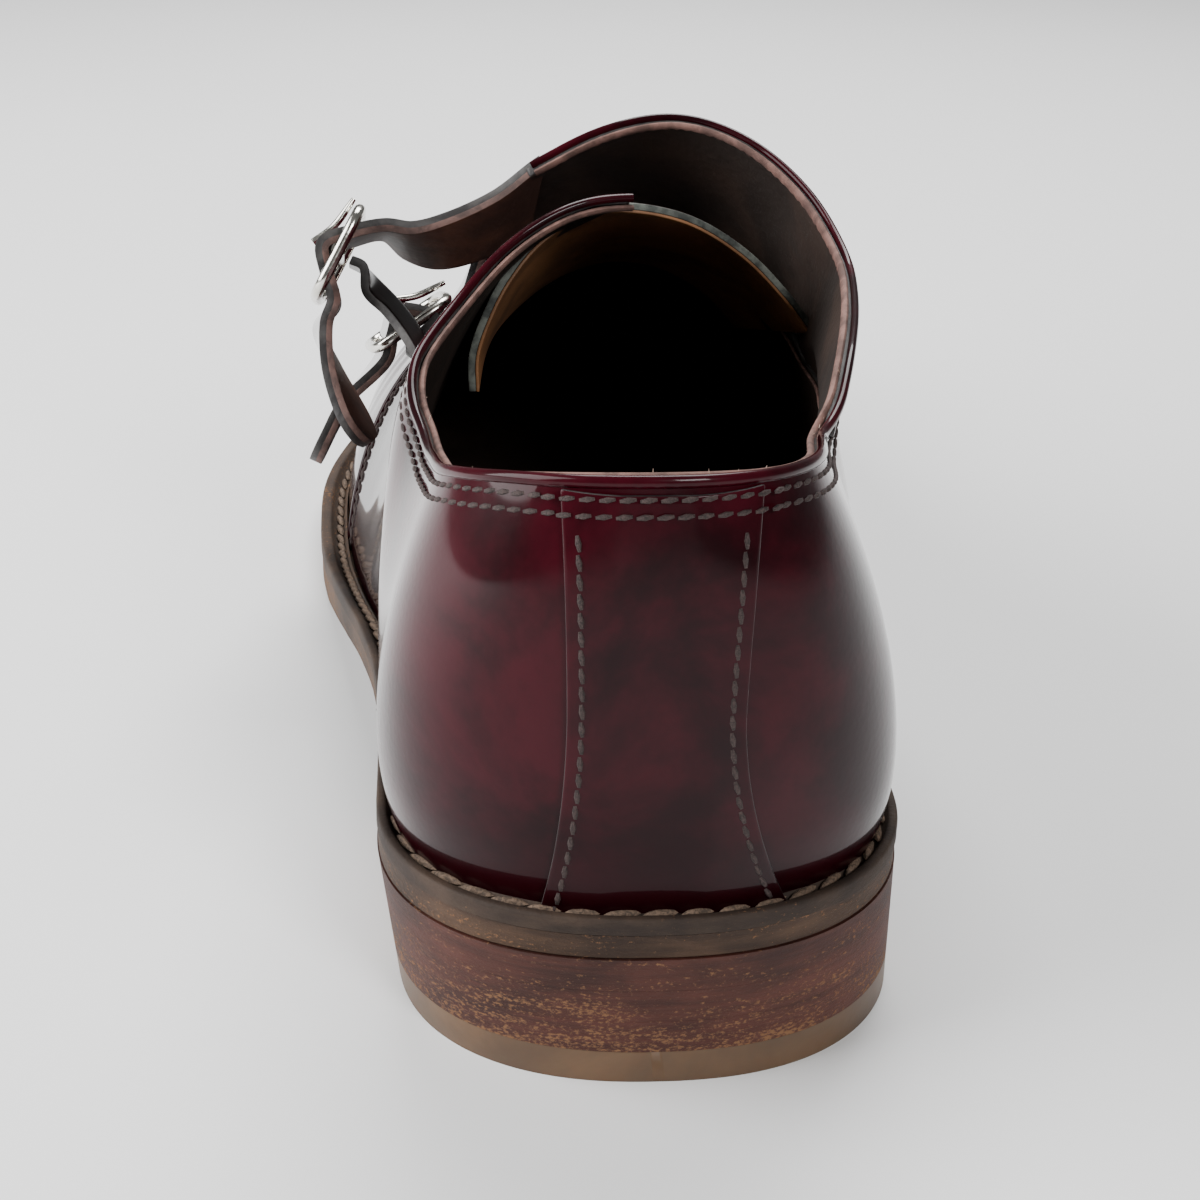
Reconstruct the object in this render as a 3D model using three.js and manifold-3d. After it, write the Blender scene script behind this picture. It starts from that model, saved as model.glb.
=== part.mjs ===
// Double monk strap shoe, left foot: stacked heel, outsole, welt, insole, hollow upper, tongue, two straps,
// two buckles.
// Millimetres, +Z up, toe towards -Y, outer side of the foot towards +X.
// Tables count "along" from the back of the heel towards the toe and "side" outwards from the heel's middle.
import * as THREE from 'three';
import { mergeVertices } from 'three/addons/utils/BufferGeometryUtils.js';
import Module from 'manifold-3d';

const wasm = await Module();
wasm.setup();

// ---------------------------------------------------------------- driving dimensions
const LENGTH = 298; // heel to toe over the welt
const GAP = 0.3; // clearance between touching pieces
const TOPLIFT = 5.3; // gum rubber top lift
const LIFTS = 3; // leather lifts above it
const SEAT = 21.5; // underside of the outsole at the heel
const BREAST = 70; // length of the heel block
const HEEL_TAPER = 1.4; // how much smaller the heel is at the ground
const SOLE_INSET = 0.2; // outsole inside the welt's edge
const WALL = 2.2; // upper leather with its lining
const INSOLE = 2.6;
const INSOLE_EASE = 1; // between the insole's edge and the lining
const TONGUE = 1.8;
const STRAP = 2.6; // strap thickness
const STRAP_WIDTH = 20;
const BUCKLE = { across: 29, run: 20, thick: 2.2, rim: 2.2, bar: 1.1 }; // rounded frame with a middle bar
const PRONG = 0.7;
const CHAPE = { width: 10, thick: 1.8 }; // leather loop that holds the buckle on the quarter
const HEEL_END = 33; // length of the rounding at the back
const TOE_START = 198; // where the toe rounding begins
const STATIONS = 34;
const ARCH_POINTS = 22; // points over the instep in each section

// ---------------------------------------------------------------- tables
// Half-widths of the sole before its ends are rounded, height of its underside, thicknesses, and the ledge
// left by the upper.
const SOLE = [
  { along: 0, lateral: 38.8, medial: 37.4, under: 21.5, sole: 3.3, welt: 2.5, ledge: 3.8 },
  { along: 35, lateral: 39.1, medial: 37.9, under: 21.5, sole: 3.3, welt: 2.5, ledge: 3.8 },
  { along: 60, lateral: 39.8, medial: 37.4, under: 21.5, sole: 3.4, welt: 2.5, ledge: 3.8 },
  { along: 74, lateral: 41.2, medial: 36.2, under: 21.2, sole: 3.5, welt: 2.5, ledge: 3.8 },
  { along: 90, lateral: 44, medial: 34.4, under: 19.4, sole: 3.8, welt: 2.6, ledge: 4 },
  { along: 112, lateral: 48.2, medial: 33, under: 14.2, sole: 4.2, welt: 2.8, ledge: 4.4 },
  { along: 134, lateral: 51.6, medial: 34.6, under: 7.2, sole: 4.8, welt: 3.1, ledge: 5 },
  { along: 154, lateral: 54.6, medial: 38.8, under: 2, sole: 5.2, welt: 3.4, ledge: 5.6 },
  { along: 172, lateral: 56.6, medial: 43.8, under: 0, sole: 5.4, welt: 3.5, ledge: 6 },
  { along: 192, lateral: 57.4, medial: 48.4, under: 0, sole: 5.4, welt: 3.5, ledge: 6 },
  { along: 206, lateral: 56.6, medial: 50.6, under: 0, sole: 5.4, welt: 3.5, ledge: 6 },
  { along: 230, lateral: 52.8, medial: 53, under: 1.6, sole: 5.4, welt: 3.5, ledge: 6 },
  { along: 260, lateral: 49, medial: 55, under: 6.2, sole: 5.4, welt: 3.5, ledge: 6 },
  { along: 298, lateral: 46, medial: 56, under: 14, sole: 5.4, welt: 3.5, ledge: 6 },
];

// Sections of the last: height of the crown, its drift to the outer side, roundness of the arch, and the
// belly each side.
const LAST = [
  { along: 0, crown: 112, drift: 2, round: 1.75, bellyLat: 4.4, bellyMed: 4.6, bellyRise: 0.6 },
  { along: 30, crown: 112, drift: 3, round: 1.72, bellyLat: 4.4, bellyMed: 4.6, bellyRise: 0.6 },
  { along: 55, crown: 111.5, drift: 2.5, round: 1.85, bellyLat: 4.2, bellyMed: 5, bellyRise: 0.62 },
  { along: 75, crown: 109, drift: -1, round: 2.15, bellyLat: 2.4, bellyMed: 6, bellyRise: 0.75 },
  { along: 95, crown: 102.2, drift: -7, round: 2.25, bellyLat: 0.6, bellyMed: 7.5, bellyRise: 0.95 },
  { along: 110, crown: 97, drift: -12, round: 2.2, bellyLat: 0.2, bellyMed: 8.5, bellyRise: 1 },
  { along: 125, crown: 91, drift: -13.5, round: 2.15, bellyLat: 0, bellyMed: 8, bellyRise: 1 },
  { along: 140, crown: 84, drift: -13, round: 2.1, bellyLat: 0, bellyMed: 6.5, bellyRise: 0.95 },
  { along: 156, crown: 76.5, drift: -12, round: 2.1, bellyLat: 0.4, bellyMed: 4.5, bellyRise: 0.8 },
  { along: 174, crown: 68.5, drift: -9.5, round: 2.1, bellyLat: 0.8, bellyMed: 2.4, bellyRise: 0.7 },
  { along: 195, crown: 61, drift: -6.5, round: 2.15, bellyLat: 1, bellyMed: 1, bellyRise: 0.6 },
  { along: 220, crown: 53, drift: -3, round: 2.25, bellyLat: 1, bellyMed: 1, bellyRise: 0.6 },
  { along: 250, crown: 46, drift: -1, round: 2.4, bellyLat: 1, bellyMed: 1, bellyRise: 0.6 },
  { along: 298, crown: 44, drift: 0, round: 2.5, bellyLat: 1, bellyMed: 1, bellyRise: 0.6 },
];

// Curve of the heel back: how far the wall stands forward of the feather line at each share of the height.
const BACK_CURVE = [
  { share: 0, forward: 0 },
  { share: 0.15, forward: -1.7 },
  { share: 0.3, forward: -2.5 },
  { share: 0.5, forward: -1.6 },
  { share: 0.72, forward: 1.6 },
  { share: 1, forward: 6 },
];
const TOE_SETBACK = 30; // how far the toe's crown starts behind the tip

// Edge of the opening from the heel round to the point of the throat, outer side and inner side.
const OPENING = [
  { along: -12, side: 12, up: 89.6, medSide: -12, medUp: 89.6 },
  { along: 3, side: 15, up: 89.4, medSide: -14, medUp: 89.4 },
  { along: 14, side: 23.5, up: 86.2, medSide: -21, medUp: 87 },
  { along: 28, side: 29, up: 81, medSide: -25.5, medUp: 84 },
  { along: 44, side: 31.5, up: 78, medSide: -28, medUp: 80 },
  { along: 58, side: 33.5, up: 79.6, medSide: -33, medUp: 74 },
  { along: 70, side: 32.5, up: 84, medSide: -36, medUp: 69 },
  { along: 82, side: 26.5, up: 89.5, medSide: -38, medUp: 65 },
  { along: 91, side: 16, up: 96.5, medSide: -39, medUp: 63 },
  { along: 97, side: -3, up: 101, medSide: -39, medUp: 62 },
  { along: 108, side: -12, up: 96, medSide: -38.5, medUp: 62 },
  { along: 120, side: -22, up: 89, medSide: -37, medUp: 64 },
  { along: 130, side: -29, up: 80, medSide: -33, medUp: 74 },
];

// The inner quarter's flap over the instep. Its rear edge is the topline. Its front edge is found on the last,
// "toArch" of the way over from the outer feather to the inner one and "clear" above the leather.
const FLAP = [
  { side: -27, along: 46, up: 79, toAlong: 146, toArch: 0.9, clear: -1.4 },
  { side: -32.4, along: 64, up: 85, toAlong: 151, toArch: 0.84, clear: -0.6 },
  { side: -37.2, along: 87, up: 87.6, toAlong: 156, toArch: 0.78, clear: 0.8 },
  { side: -38.6, along: 105, up: 90, toAlong: 161, toArch: 0.71, clear: 1.6 },
  { side: -34, along: 120, up: 97, toAlong: 166, toArch: 0.64, clear: 1.8 },
  { side: -24.5, along: 130, up: 104, toAlong: 170, toArch: 0.57, clear: 2 },
  { side: -13, along: 136, up: 107, toAlong: 172, toArch: 0.5, clear: 2 },
  { side: 0, along: 137.5, up: 104, toAlong: 172, toArch: 0.43, clear: 2 },
  { side: 12, along: 137, up: 97.2, toAlong: 170, toArch: 0.365, clear: 2 },
];

// The tongue: its rear edge is the free end, its front edge is caught under the vamp.
const TONGUE_ROWS = [
  { side: 24, along: 92, up: 67, toAlong: 138, toArch: 0.26 },
  { side: 20.5, along: 93, up: 77, toAlong: 140, toArch: 0.31 },
  { side: 14, along: 96, up: 85, toAlong: 142, toArch: 0.37 },
  { side: 6, along: 101, up: 92, toAlong: 143, toArch: 0.43 },
  { side: -2, along: 105, up: 94.6, toAlong: 144, toArch: 0.49 },
  { side: -10, along: 107, up: 93, toAlong: 144, toArch: 0.55 },
  { side: -19, along: 110, up: 87, toAlong: 144, toArch: 0.61 },
  { side: -26.6, along: 114, up: 80, toAlong: 143, toArch: 0.66 },
  { side: -31, along: 118.5, up: 70, toAlong: 142, toArch: 0.71 },
];

// Each strap with its buckle: the middle of the frame, the direction across the strap, the direction it runs
// in, how far the strap dips behind the frame, then its middle line before and after the frame and that of
// the chape, with the direction across them.
const FASTENINGS = {
  upper: {
    middle: { side: 49.4, along: 141, up: 78.6 },
    across: { side: 0.05, along: 0.93, up: -0.36 },
    run: { side: 0.44, along: 0.03, up: -0.9 },
    dip: 5.6,
    before: [
      { side: 14.2, along: 144, up: 88.8, overSide: 0.1, overAlong: 0.63, overUp: -0.77 },
      { side: 21, along: 144, up: 83.8, overSide: 0.12, overAlong: 0.65, overUp: -0.75 },
      { side: 30, along: 143.5, up: 80.6, overSide: 0.1, overAlong: 0.75, overUp: -0.66 },
      { side: 36, along: 143, up: 80.8, overSide: 0.08, overAlong: 0.85, overUp: -0.5 },
    ],
    after: [
      { side: 52.6, along: 139.8, up: 65, overSide: 0.14, overAlong: 0.92, overUp: -0.35 },
      { side: 50.8, along: 135.5, up: 58.5, overSide: 0, overAlong: 0.93, overUp: -0.33 },
      { side: 47.4, along: 130.5, up: 52, overSide: -0.1, overAlong: 0.93, overUp: -0.3 },
      { side: 43.6, along: 125.5, up: 46.6, overSide: -0.12, overAlong: 0.93, overUp: -0.3 },
    ],
    chape: [
      { side: 43, along: 139, up: 72.8, overSide: -0.2, overAlong: 0.93, overUp: -0.15 },
      { side: 39.3, along: 135, up: 70.2, overSide: -0.2, overAlong: 0.93, overUp: -0.15 },
      { side: 35.6, along: 128, up: 67.5, overSide: -0.2, overAlong: 0.93, overUp: -0.15 },
      { side: 33.4, along: 121, up: 66, overSide: -0.2, overAlong: 0.93, overUp: -0.15 },
    ],
  },
  lower: {
    middle: { side: 37.3, along: 164.8, up: 57.9 },
    across: { side: 0.1, along: 0.95, up: -0.28 },
    run: { side: 0.82, along: 0.03, up: -0.58 },
    dip: 3.9,
    before: [
      { side: 18, along: 162.6, up: 75.6, overSide: 0.1, overAlong: 0.74, overUp: -0.66 },
      { side: 22.5, along: 164, up: 71.2, overSide: 0.1, overAlong: 0.82, overUp: -0.56 },
    ],
    after: [
      { side: 49.6, along: 160, up: 42.4, overSide: 0, overAlong: 0.95, overUp: -0.3 },
      { side: 53, along: 158, up: 36.6, overSide: 0, overAlong: 0.96, overUp: -0.28 },
      { side: 56, along: 157, up: 30.4, overSide: 0, overAlong: 0.96, overUp: -0.28 },
    ],
    chape: [
      { side: 34, along: 152, up: 58, overSide: 0.5, overAlong: 0.3, overUp: -0.8 },
      { side: 33.6, along: 142, up: 63.4, overSide: 0.62, overAlong: 0.3, overUp: -0.72 },
    ],
  },
};

// ---------------------------------------------------------------- reading the tables
// Value of a column at a place between the rows, by a cubic that keeps to the rows without overshooting.
function column(rows, key, place, by = 'along') {
  const last = rows.length - 1;
  if (place <= rows[0][by]) return rows[0][key];
  if (place >= rows[last][by]) return rows[last][key];
  let i = 0;
  while (place > rows[i + 1][by]) i += 1;
  const rise = (k) => (rows[k + 1][key] - rows[k][key]) / (rows[k + 1][by] - rows[k][by]);
  const slope = (k) => {
    if (k === 0 || k === last) return 0;
    const [before, after] = [rise(k - 1), rise(k)];
    return before * after <= 0 ? 0 : (2 * before * after) / (before + after);
  };
  const span = rows[i + 1][by] - rows[i][by];
  const t = (place - rows[i][by]) / span;
  const [t2, t3] = [t * t, t * t * t];
  return rows[i][key] * (2 * t3 - 3 * t2 + 1) + rows[i + 1][key] * (3 * t2 - 2 * t3)
    + span * (slope(i) * (t3 - 2 * t2 + t) + slope(i + 1) * (t3 - t2));
}

const point = (side, along, up) => new THREE.Vector3(side, -along, up);

// Stations from one end to the other, closer together at the ends so that the round heel and toe stay round.
function stations(start, end, count = STATIONS) {
  return Array.from({ length: count + 1 }, (_, i) => {
    const t = (1 - Math.cos((Math.PI * i) / count)) / 2;
    return start + (end - start) * t;
  });
}

// How much of the half-width is left near the round ends of an outline that is inset from the sole's edge.
function endRounding(along, inset = 0) {
  const back = Math.min(1, Math.max(0, (along - inset) / (HEEL_END - inset)));
  const front = Math.min(1, Math.max(0, (LENGTH - inset - along) / (LENGTH - inset - TOE_START)));
  return (1 - (1 - back) ** 2.3) ** (1 / 2.3) * (1 - (1 - front) ** 2.05) ** (1 / 2.05);
}

// Side positions of both edges of an outline at a station.
function edges(along, inset = 0) {
  const lateral = column(SOLE, 'lateral', along) - inset;
  const medial = column(SOLE, 'medial', along) - inset;
  const half = ((lateral + medial) / 2) * endRounding(along, inset);
  const middle = (lateral - medial) / 2;
  return { lateral: middle + half, medial: middle - half };
}

const soleTop = (along) => column(SOLE, 'under', along) + column(SOLE, 'sole', along);
const weltTop = (along) => soleTop(along) + GAP + column(SOLE, 'welt', along);

// ---------------------------------------------------------------- building solids
// One closed solid through rings with equal numbers of points, capped at both ends.
function loft(rings) {
  const n = rings[0].length;
  const positions = rings.flat().flatMap((p) => [p.x, p.y, p.z]);
  const faces = [];
  for (let r = 0; r < rings.length - 1; r += 1) {
    for (let k = 0; k < n; k += 1) {
      const [a, b] = [r * n + k, r * n + ((k + 1) % n)];
      faces.push(a, b, b + n, a, b + n, a + n);
    }
  }
  const end = (rings.length - 1) * n;
  for (let k = 1; k < n - 1; k += 1) faces.push(0, k + 1, k, end, end + k, end + k + 1);
  return closed(positions, faces);
}

// Merges equal points, drops collapsed triangles and turns the faces outwards.
function closed(positions, faces) {
  let geometry = new THREE.BufferGeometry();
  geometry.setAttribute('position', new THREE.Float32BufferAttribute(positions, 3));
  geometry.setIndex(faces);
  geometry = mergeVertices(geometry, 1e-3);
  const index = Array.from(geometry.index.array);
  const kept = [];
  for (let i = 0; i < index.length; i += 3) {
    const [a, b, c] = index.slice(i, i + 3);
    if (a !== b && b !== c && c !== a) kept.push(a, b, c);
  }
  const at = (i) => new THREE.Vector3().fromBufferAttribute(geometry.attributes.position, i);
  let volume = 0;
  for (let i = 0; i < kept.length; i += 3) {
    volume += at(kept[i]).dot(at(kept[i + 1]).cross(at(kept[i + 2])));
  }
  if (volume < 0) kept.reverse();
  geometry.setIndex(kept);
  return geometry;
}

function solid(geometry) {
  return new wasm.Manifold(new wasm.Mesh({
    numProp: 3,
    vertProperties: new Float32Array(geometry.attributes.position.array),
    triVerts: new Uint32Array(geometry.index.array),
  }));
}

function shape(manifold) {
  const mesh = manifold.getMesh();
  const geometry = new THREE.BufferGeometry();
  geometry.setAttribute('position', new THREE.BufferAttribute(mesh.vertProperties, 3));
  geometry.setIndex(Array.from(mesh.triVerts));
  return geometry;
}

// A flat layer between two heights, with its edge inset from the sole's edge.
function layer(start, end, inset, bottom, top) {
  return loft(stations(start, end).map((along) => {
    const { lateral, medial } = edges(along, inset);
    return [
      point(lateral, along, bottom(along)),
      point(lateral, along, top(along)),
      point(medial, along, top(along)),
      point(medial, along, bottom(along)),
    ];
  }));
}

const shoe = new THREE.Group();
function add(name, geometry, colour, roughness, metalness = 0) {
  geometry.computeVertexNormals();
  const material = new THREE.MeshStandardMaterial({ color: colour, roughness, metalness });
  const mesh = new THREE.Mesh(geometry, material);
  mesh.name = name;
  shoe.add(mesh);
}

// ---------------------------------------------------------------- heel
// A slice of the heel block between two heights: the sole's outline, tapered, ending at a straight breast.
function heelSlice(bottom, top) {
  const taper = (up) => HEEL_TAPER * (1 - up / SEAT);
  const ring = (up) => {
    const inset = taper(up);
    const places = stations(inset, 2 * BREAST - inset, 36).filter((a) => a <= BREAST);
    const outer = places.map((a) => point(edges(a, inset).lateral, a, up));
    const inner = places.map((a) => point(edges(a, inset).medial, a, up)).reverse();
    return [...outer, ...inner];
  };
  return loft([ring(bottom), ring(top)]);
}

// ---------------------------------------------------------------- last
// A point of the last's surface: station, place over the arch from 0 (outer feather) to 1 (inner feather),
// inset inwards.
function lastPoint(along, arch, inset = 0) {
  const ledge = column(SOLE, 'ledge', along);
  const { lateral, medial } = edges(along, ledge + inset);
  const angle = Math.PI * arch;
  const round = column(LAST, 'round', along);
  const share = Math.sin(angle) ** (2 / round);
  const spread = Math.abs(Math.cos(angle)) ** (2 / round);
  const outer = arch < 0.5;
  const drift = column(LAST, 'drift', along) * share;
  const middle = (lateral + medial) / 2;
  const half = (lateral - medial) / 2;
  const ends = endRounding(along, ledge + inset);
  const bulge = Math.sin(Math.PI * share ** column(LAST, 'bellyRise', along)) * ends;
  const belly = column(LAST, outer ? 'bellyLat' : 'bellyMed', along) * bulge;
  const side = middle + drift + (outer ? 1 : -1) * (half * spread + belly);
  const base = soleTop(along) + GAP;
  const up = base + (column(LAST, 'crown', along) - base - inset) * share;
  const heelFade = Math.max(0, 1 - along / 60) ** 1.5;
  const toeFade = Math.max(0, (along - TOE_START) / (LENGTH - TOE_START)) ** 2;
  const forward = column(BACK_CURVE, 'forward', share, 'share') * heelFade;
  const setback = (TOE_SETBACK - inset) * toeFade * (1 - spread);
  return point(side, along + forward - setback, up);
}

function lastSolid(inset, floor) {
  const ledgeBack = SOLE[0].ledge + inset;
  const ledgeToe = SOLE[SOLE.length - 1].ledge + inset;
  return loft(stations(ledgeBack, LENGTH - ledgeToe).map((along) => {
    const ring = [];
    for (let k = 0; k <= ARCH_POINTS; k += 1) ring.push(lastPoint(along, k / ARCH_POINTS, inset));
    if (floor) {
      const [first, last] = [ring[0], ring[ring.length - 1]];
      ring.unshift(new THREE.Vector3(first.x, first.y, first.z + floor));
      ring.push(new THREE.Vector3(last.x, last.y, last.z + floor));
    }
    return ring;
  }));
}

// The opening: at each station the space above a line between the two edges, spreading away from the foot.
function openingSolid() {
  const reach = 2.6;
  const heart = new THREE.Vector2(0, 52);
  return loft(OPENING.map((row) => {
    const outer = new THREE.Vector2(row.side, row.up);
    const inner = new THREE.Vector2(row.medSide, row.medUp);
    const far = (edge) => heart.clone().add(edge.clone().sub(heart).multiplyScalar(reach));
    return [outer, far(outer), far(inner), inner].map((p) => point(p.x, row.along, p.y));
  }));
}

// A strip of leather between two edges, each a list of points with one point for every row.
function band(rear, front, thickness, across = 1, smooth = 4) {
  const steps = (rear.length - 1) * smooth;
  const [from, to] = [rear, front].map((line) => new THREE.CatmullRomCurve3(line, false, 'centripetal'));
  const grid = Array.from({ length: steps + 1 }, (_, i) => {
    const [a, b] = [from.getPoint(i / steps), to.getPoint(i / steps)];
    return Array.from({ length: across + 1 }, (_, k) => a.clone().lerp(b, k / across));
  });
  const normal = (i, k) => {
    const along = grid[Math.min(i + 1, steps)][k].clone().sub(grid[Math.max(i - 1, 0)][k]);
    const over = grid[i][Math.min(k + 1, across)].clone().sub(grid[i][Math.max(k - 1, 0)]);
    return along.cross(over).normalize();
  };
  return loft(grid.map((line, i) => {
    const outer = line.map((p, k) => p.clone().addScaledVector(normal(i, k), thickness / 2));
    const inner = line.map((p, k) => p.clone().addScaledVector(normal(i, k), -thickness / 2));
    return [...outer, ...inner.reverse()];
  }));
}

// A sheet whose front edge is found on the last, "clear" outside its surface.
function sheet(rows, thickness, clear, across) {
  const rear = rows.map((r) => point(r.side, r.along, r.up));
  const front = rows.map((r) => lastPoint(r.toAlong, r.toArch, -(r.clear ?? clear)));
  return band(rear, front, thickness, across, 3);
}

// ---------------------------------------------------------------- fastenings
const vector = (v) => point(v.side, v.along, v.up);

// The buckle's own directions: across the strap, along its run and outwards, and a point given in them.
function seat({ middle, across, run }) {
  const x = vector(across).normalize();
  const z = x.clone().cross(vector(run)).normalize();
  if (z.x < 0) z.negate();
  const y = z.clone().cross(x);
  if (y.dot(vector(run)) < 0) y.negate();
  const at = (w, r, out) => vector(middle).addScaledVector(x, w).addScaledVector(y, r).addScaledVector(z, out);
  return { x, at };
}

// A strap of even width along a middle line, each point with its own direction across.
function strap(path, width, thickness) {
  const rear = path.map(({ mid, over }) => mid.clone().addScaledVector(over, -width / 2));
  const front = path.map(({ mid, over }) => mid.clone().addScaledVector(over, width / 2));
  return band(rear, front, thickness, 1, 3);
}

const row = (r) => ({
  mid: vector(r),
  over: point(r.overSide, r.overAlong, r.overUp).normalize(),
});

// Rounded frame: an outline swept with a square bar, in the plane of the buckle.
function frameSolid({ at }) {
  const { across, run, thick, rim, bar } = BUCKLE;
  const corner = 5;
  const outline = (inset) => {
    const [w, r, c] = [across / 2 - inset, run / 2 - inset, corner - inset];
    const points = [];
    for (const [sx, sy, turn] of [[1, 1, 0], [-1, 1, 1], [-1, -1, 2], [1, -1, 3]]) {
      for (let k = 0; k <= 4; k += 1) {
        const angle = (Math.PI / 2) * (turn + k / 4);
        points.push([sx * (w - c) + c * Math.cos(angle), sy * (r - c) + c * Math.sin(angle)]);
      }
    }
    return points;
  };
  const [outer, inner] = [outline(0), outline(rim)];
  const rings = outer.map(([w, r], i) => [
    at(w, r, -thick / 2), at(w, r, thick / 2), at(...inner[i], thick / 2), at(...inner[i], -thick / 2),
  ]);
  const positions = rings.flat().flatMap((p) => [p.x, p.y, p.z]);
  const faces = [];
  for (let i = 0; i < rings.length; i += 1) {
    const next = (i + 1) % rings.length;
    for (let k = 0; k < 4; k += 1) {
      const [a, b, c, d] = [i * 4 + k, i * 4 + ((k + 1) % 4), next * 4 + ((k + 1) % 4), next * 4 + k];
      faces.push(a, b, c, a, c, d);
    }
  }
  const reach = across / 2 - rim / 2;
  return shape(solid(closed(positions, faces)).add(solid(rod([at(-reach, 0, 0), at(reach, 0, 0)], bar))));
}

// A thin round rod through a few points.
function rod(points, radius) {
  const curve = new THREE.CatmullRomCurve3(points);
  const steps = (points.length - 1) * 4;
  const { normals, binormals } = curve.computeFrenetFrames(steps);
  return loft(Array.from({ length: steps + 1 }, (_, i) => Array.from({ length: 8 }, (__, k) => {
    const angle = (Math.PI * k) / 4;
    return curve.getPointAt(i / steps)
      .addScaledVector(normals[i], radius * Math.cos(angle))
      .addScaledVector(binormals[i], radius * Math.sin(angle));
  })));
}

// The strap dips under the frame's near side, rises over the bar and dips under the far side.
function fastening(name, spec) {
  const buckle = seat(spec);
  const weave = [[-8.2, -spec.dip], [-4.4, -0.8], [0, 2.9], [4.4, 0], [8, -3.3]];
  const through = weave.map(([r, out]) => ({ mid: buckle.at(0, r, out), over: buckle.x }));
  const under = [[0, -2.6], [0, -5.2]].map(([r, out]) => ({ mid: buckle.at(0, r, out), over: buckle.x }));
  add(`${name}_strap`, strap([...spec.before.map(row), ...through, ...spec.after.map(row)], STRAP_WIDTH, STRAP),
    '#3a0f16', 0.2);
  add(`${name}_chape`, strap([...under, ...spec.chape.map(row)], CHAPE.width, CHAPE.thick), '#2a1412', 0.4);
  add(`${name}_buckle`, frameSolid(buckle), '#c9c7c0', 0.2, 1);
  const prong = [buckle.at(0, 0, 5.3), buckle.at(0, -4.4, 3.2), buckle.at(0, -10.8, 2.2)];
  add(`${name}_prong`, rod(prong, PRONG), '#c9c7c0', 0.2, 1);
}

// ---------------------------------------------------------------- the pieces
add('toplift', heelSlice(0, TOPLIFT), '#a5713c', 0.6);
const liftHeight = (SEAT - GAP - TOPLIFT) / LIFTS;
for (let i = 0; i < LIFTS; i += 1) {
  const top = SEAT - GAP - i * liftHeight;
  add(`heel_lift_${i + 1}`, heelSlice(top - liftHeight + GAP, top), '#5a2a22', 0.6);
}
const soleUnder = (a) => column(SOLE, 'under', a);
add('outsole', layer(SOLE_INSET, LENGTH - SOLE_INSET, SOLE_INSET, soleUnder, soleTop), '#6b4630', 0.7);

const weltOuter = solid(layer(0, LENGTH, 0, (a) => soleTop(a) + GAP, weltTop));
const weltHole = solid(lastSolid(-GAP, -3));
add('welt', shape(weltOuter.subtract(weltHole)), '#5d4230', 0.8);

const outerForm = solid(lastSolid(0, 0));
const innerForm = solid(lastSolid(WALL, -3));
const flap = solid(sheet(FLAP, WALL - 0.2, 0, 5));
const upper = outerForm.subtract(innerForm).subtract(solid(openingSolid())).add(flap.subtract(innerForm));
add('upper', shape(upper), '#3a0f16', 0.15);

const insoleLayer = layer(0, LENGTH, 0, (a) => soleTop(a) + GAP, (a) => soleTop(a) + GAP + INSOLE);
add('insole', shape(solid(insoleLayer).intersect(solid(lastSolid(WALL + INSOLE_EASE, -3)))), '#8a5a35', 0.8);
add('tongue', sheet(TONGUE_ROWS, TONGUE, -(WALL + TONGUE + 1), 4), '#3a1a16', 0.4);
for (const [name, spec] of Object.entries(FASTENINGS)) fastening(name, spec);

const bounds = new THREE.Box3().setFromObject(shoe);
const centre = bounds.getCenter(new THREE.Vector3());
shoe.position.set(-centre.x, -centre.y, -bounds.min.z);

export default shoe;
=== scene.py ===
"""Double monk strap shoe for the left foot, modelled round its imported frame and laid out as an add-on."""

import math

import bmesh
import bpy
import numpy as np
from mathutils import Matrix, Vector


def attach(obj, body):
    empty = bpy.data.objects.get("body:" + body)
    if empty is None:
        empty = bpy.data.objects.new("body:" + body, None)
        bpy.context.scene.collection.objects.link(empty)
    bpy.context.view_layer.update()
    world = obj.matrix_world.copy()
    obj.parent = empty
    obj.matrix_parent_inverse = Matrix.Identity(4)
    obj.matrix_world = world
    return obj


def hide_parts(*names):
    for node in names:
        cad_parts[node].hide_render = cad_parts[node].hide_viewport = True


bl_info = {
    "name": "Monk strap shoe",
    "version": (1, 0, 0),
    "blender": (4, 5, 0),
    "location": "View3D > Sidebar > Shoe",
    "description": "Builds a double monk strap shoe with its stitching, buckles and stacked heel",
    "category": "Add Mesh",
}

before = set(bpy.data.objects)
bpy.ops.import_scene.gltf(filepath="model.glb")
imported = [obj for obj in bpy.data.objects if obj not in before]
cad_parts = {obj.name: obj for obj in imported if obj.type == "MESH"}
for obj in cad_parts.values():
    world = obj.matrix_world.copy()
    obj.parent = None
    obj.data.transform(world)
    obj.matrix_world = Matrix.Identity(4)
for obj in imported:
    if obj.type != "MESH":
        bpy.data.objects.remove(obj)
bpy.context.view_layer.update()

# ---------------------------------------------------------------- sizes of the shoe, in millimetres
# "side" counts outwards from the heel's middle, "along" from the back of the heel to the toe and "up" from
# the floor.
MM = 0.001
HEEL_MIDDLE = -3.226
HEEL_BACK = 149.0
LENGTH = 298.0
GAP = 0.3
TOPLIFT = 5.3
SEAT = 21.5
BREAST = 70.0
HEEL_TAPER = 1.4
HEEL_END = 33.0
TOE_START = 198.0
TOE_SETBACK = 30.0
WALL = 2.2
STRAP_WIDTH = 20.0
THROAT = 130.0
FLAP_START = 45.0
TIP = 98.5
HEEL_LEAN = 1.5
STRIP_MIDDLE = 0.7
GAPE, GAPE_ALONG, GAPE_ARCH = 3.5, 65.0, 0.24
WELT_CLEAR = 0.35
STITCH = (2.5, 0.85, 0.7)
STITCH_SLANT = math.radians(7)
WELT_STITCH = (5.7, 1.35, 1.4)
WELT_SLANT = math.radians(11)
UPPER_HEART = (0, 120, 40)
STRAP_HEART = (5, 150, 30)
CHAPE_WIDTH = 10.0


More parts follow.
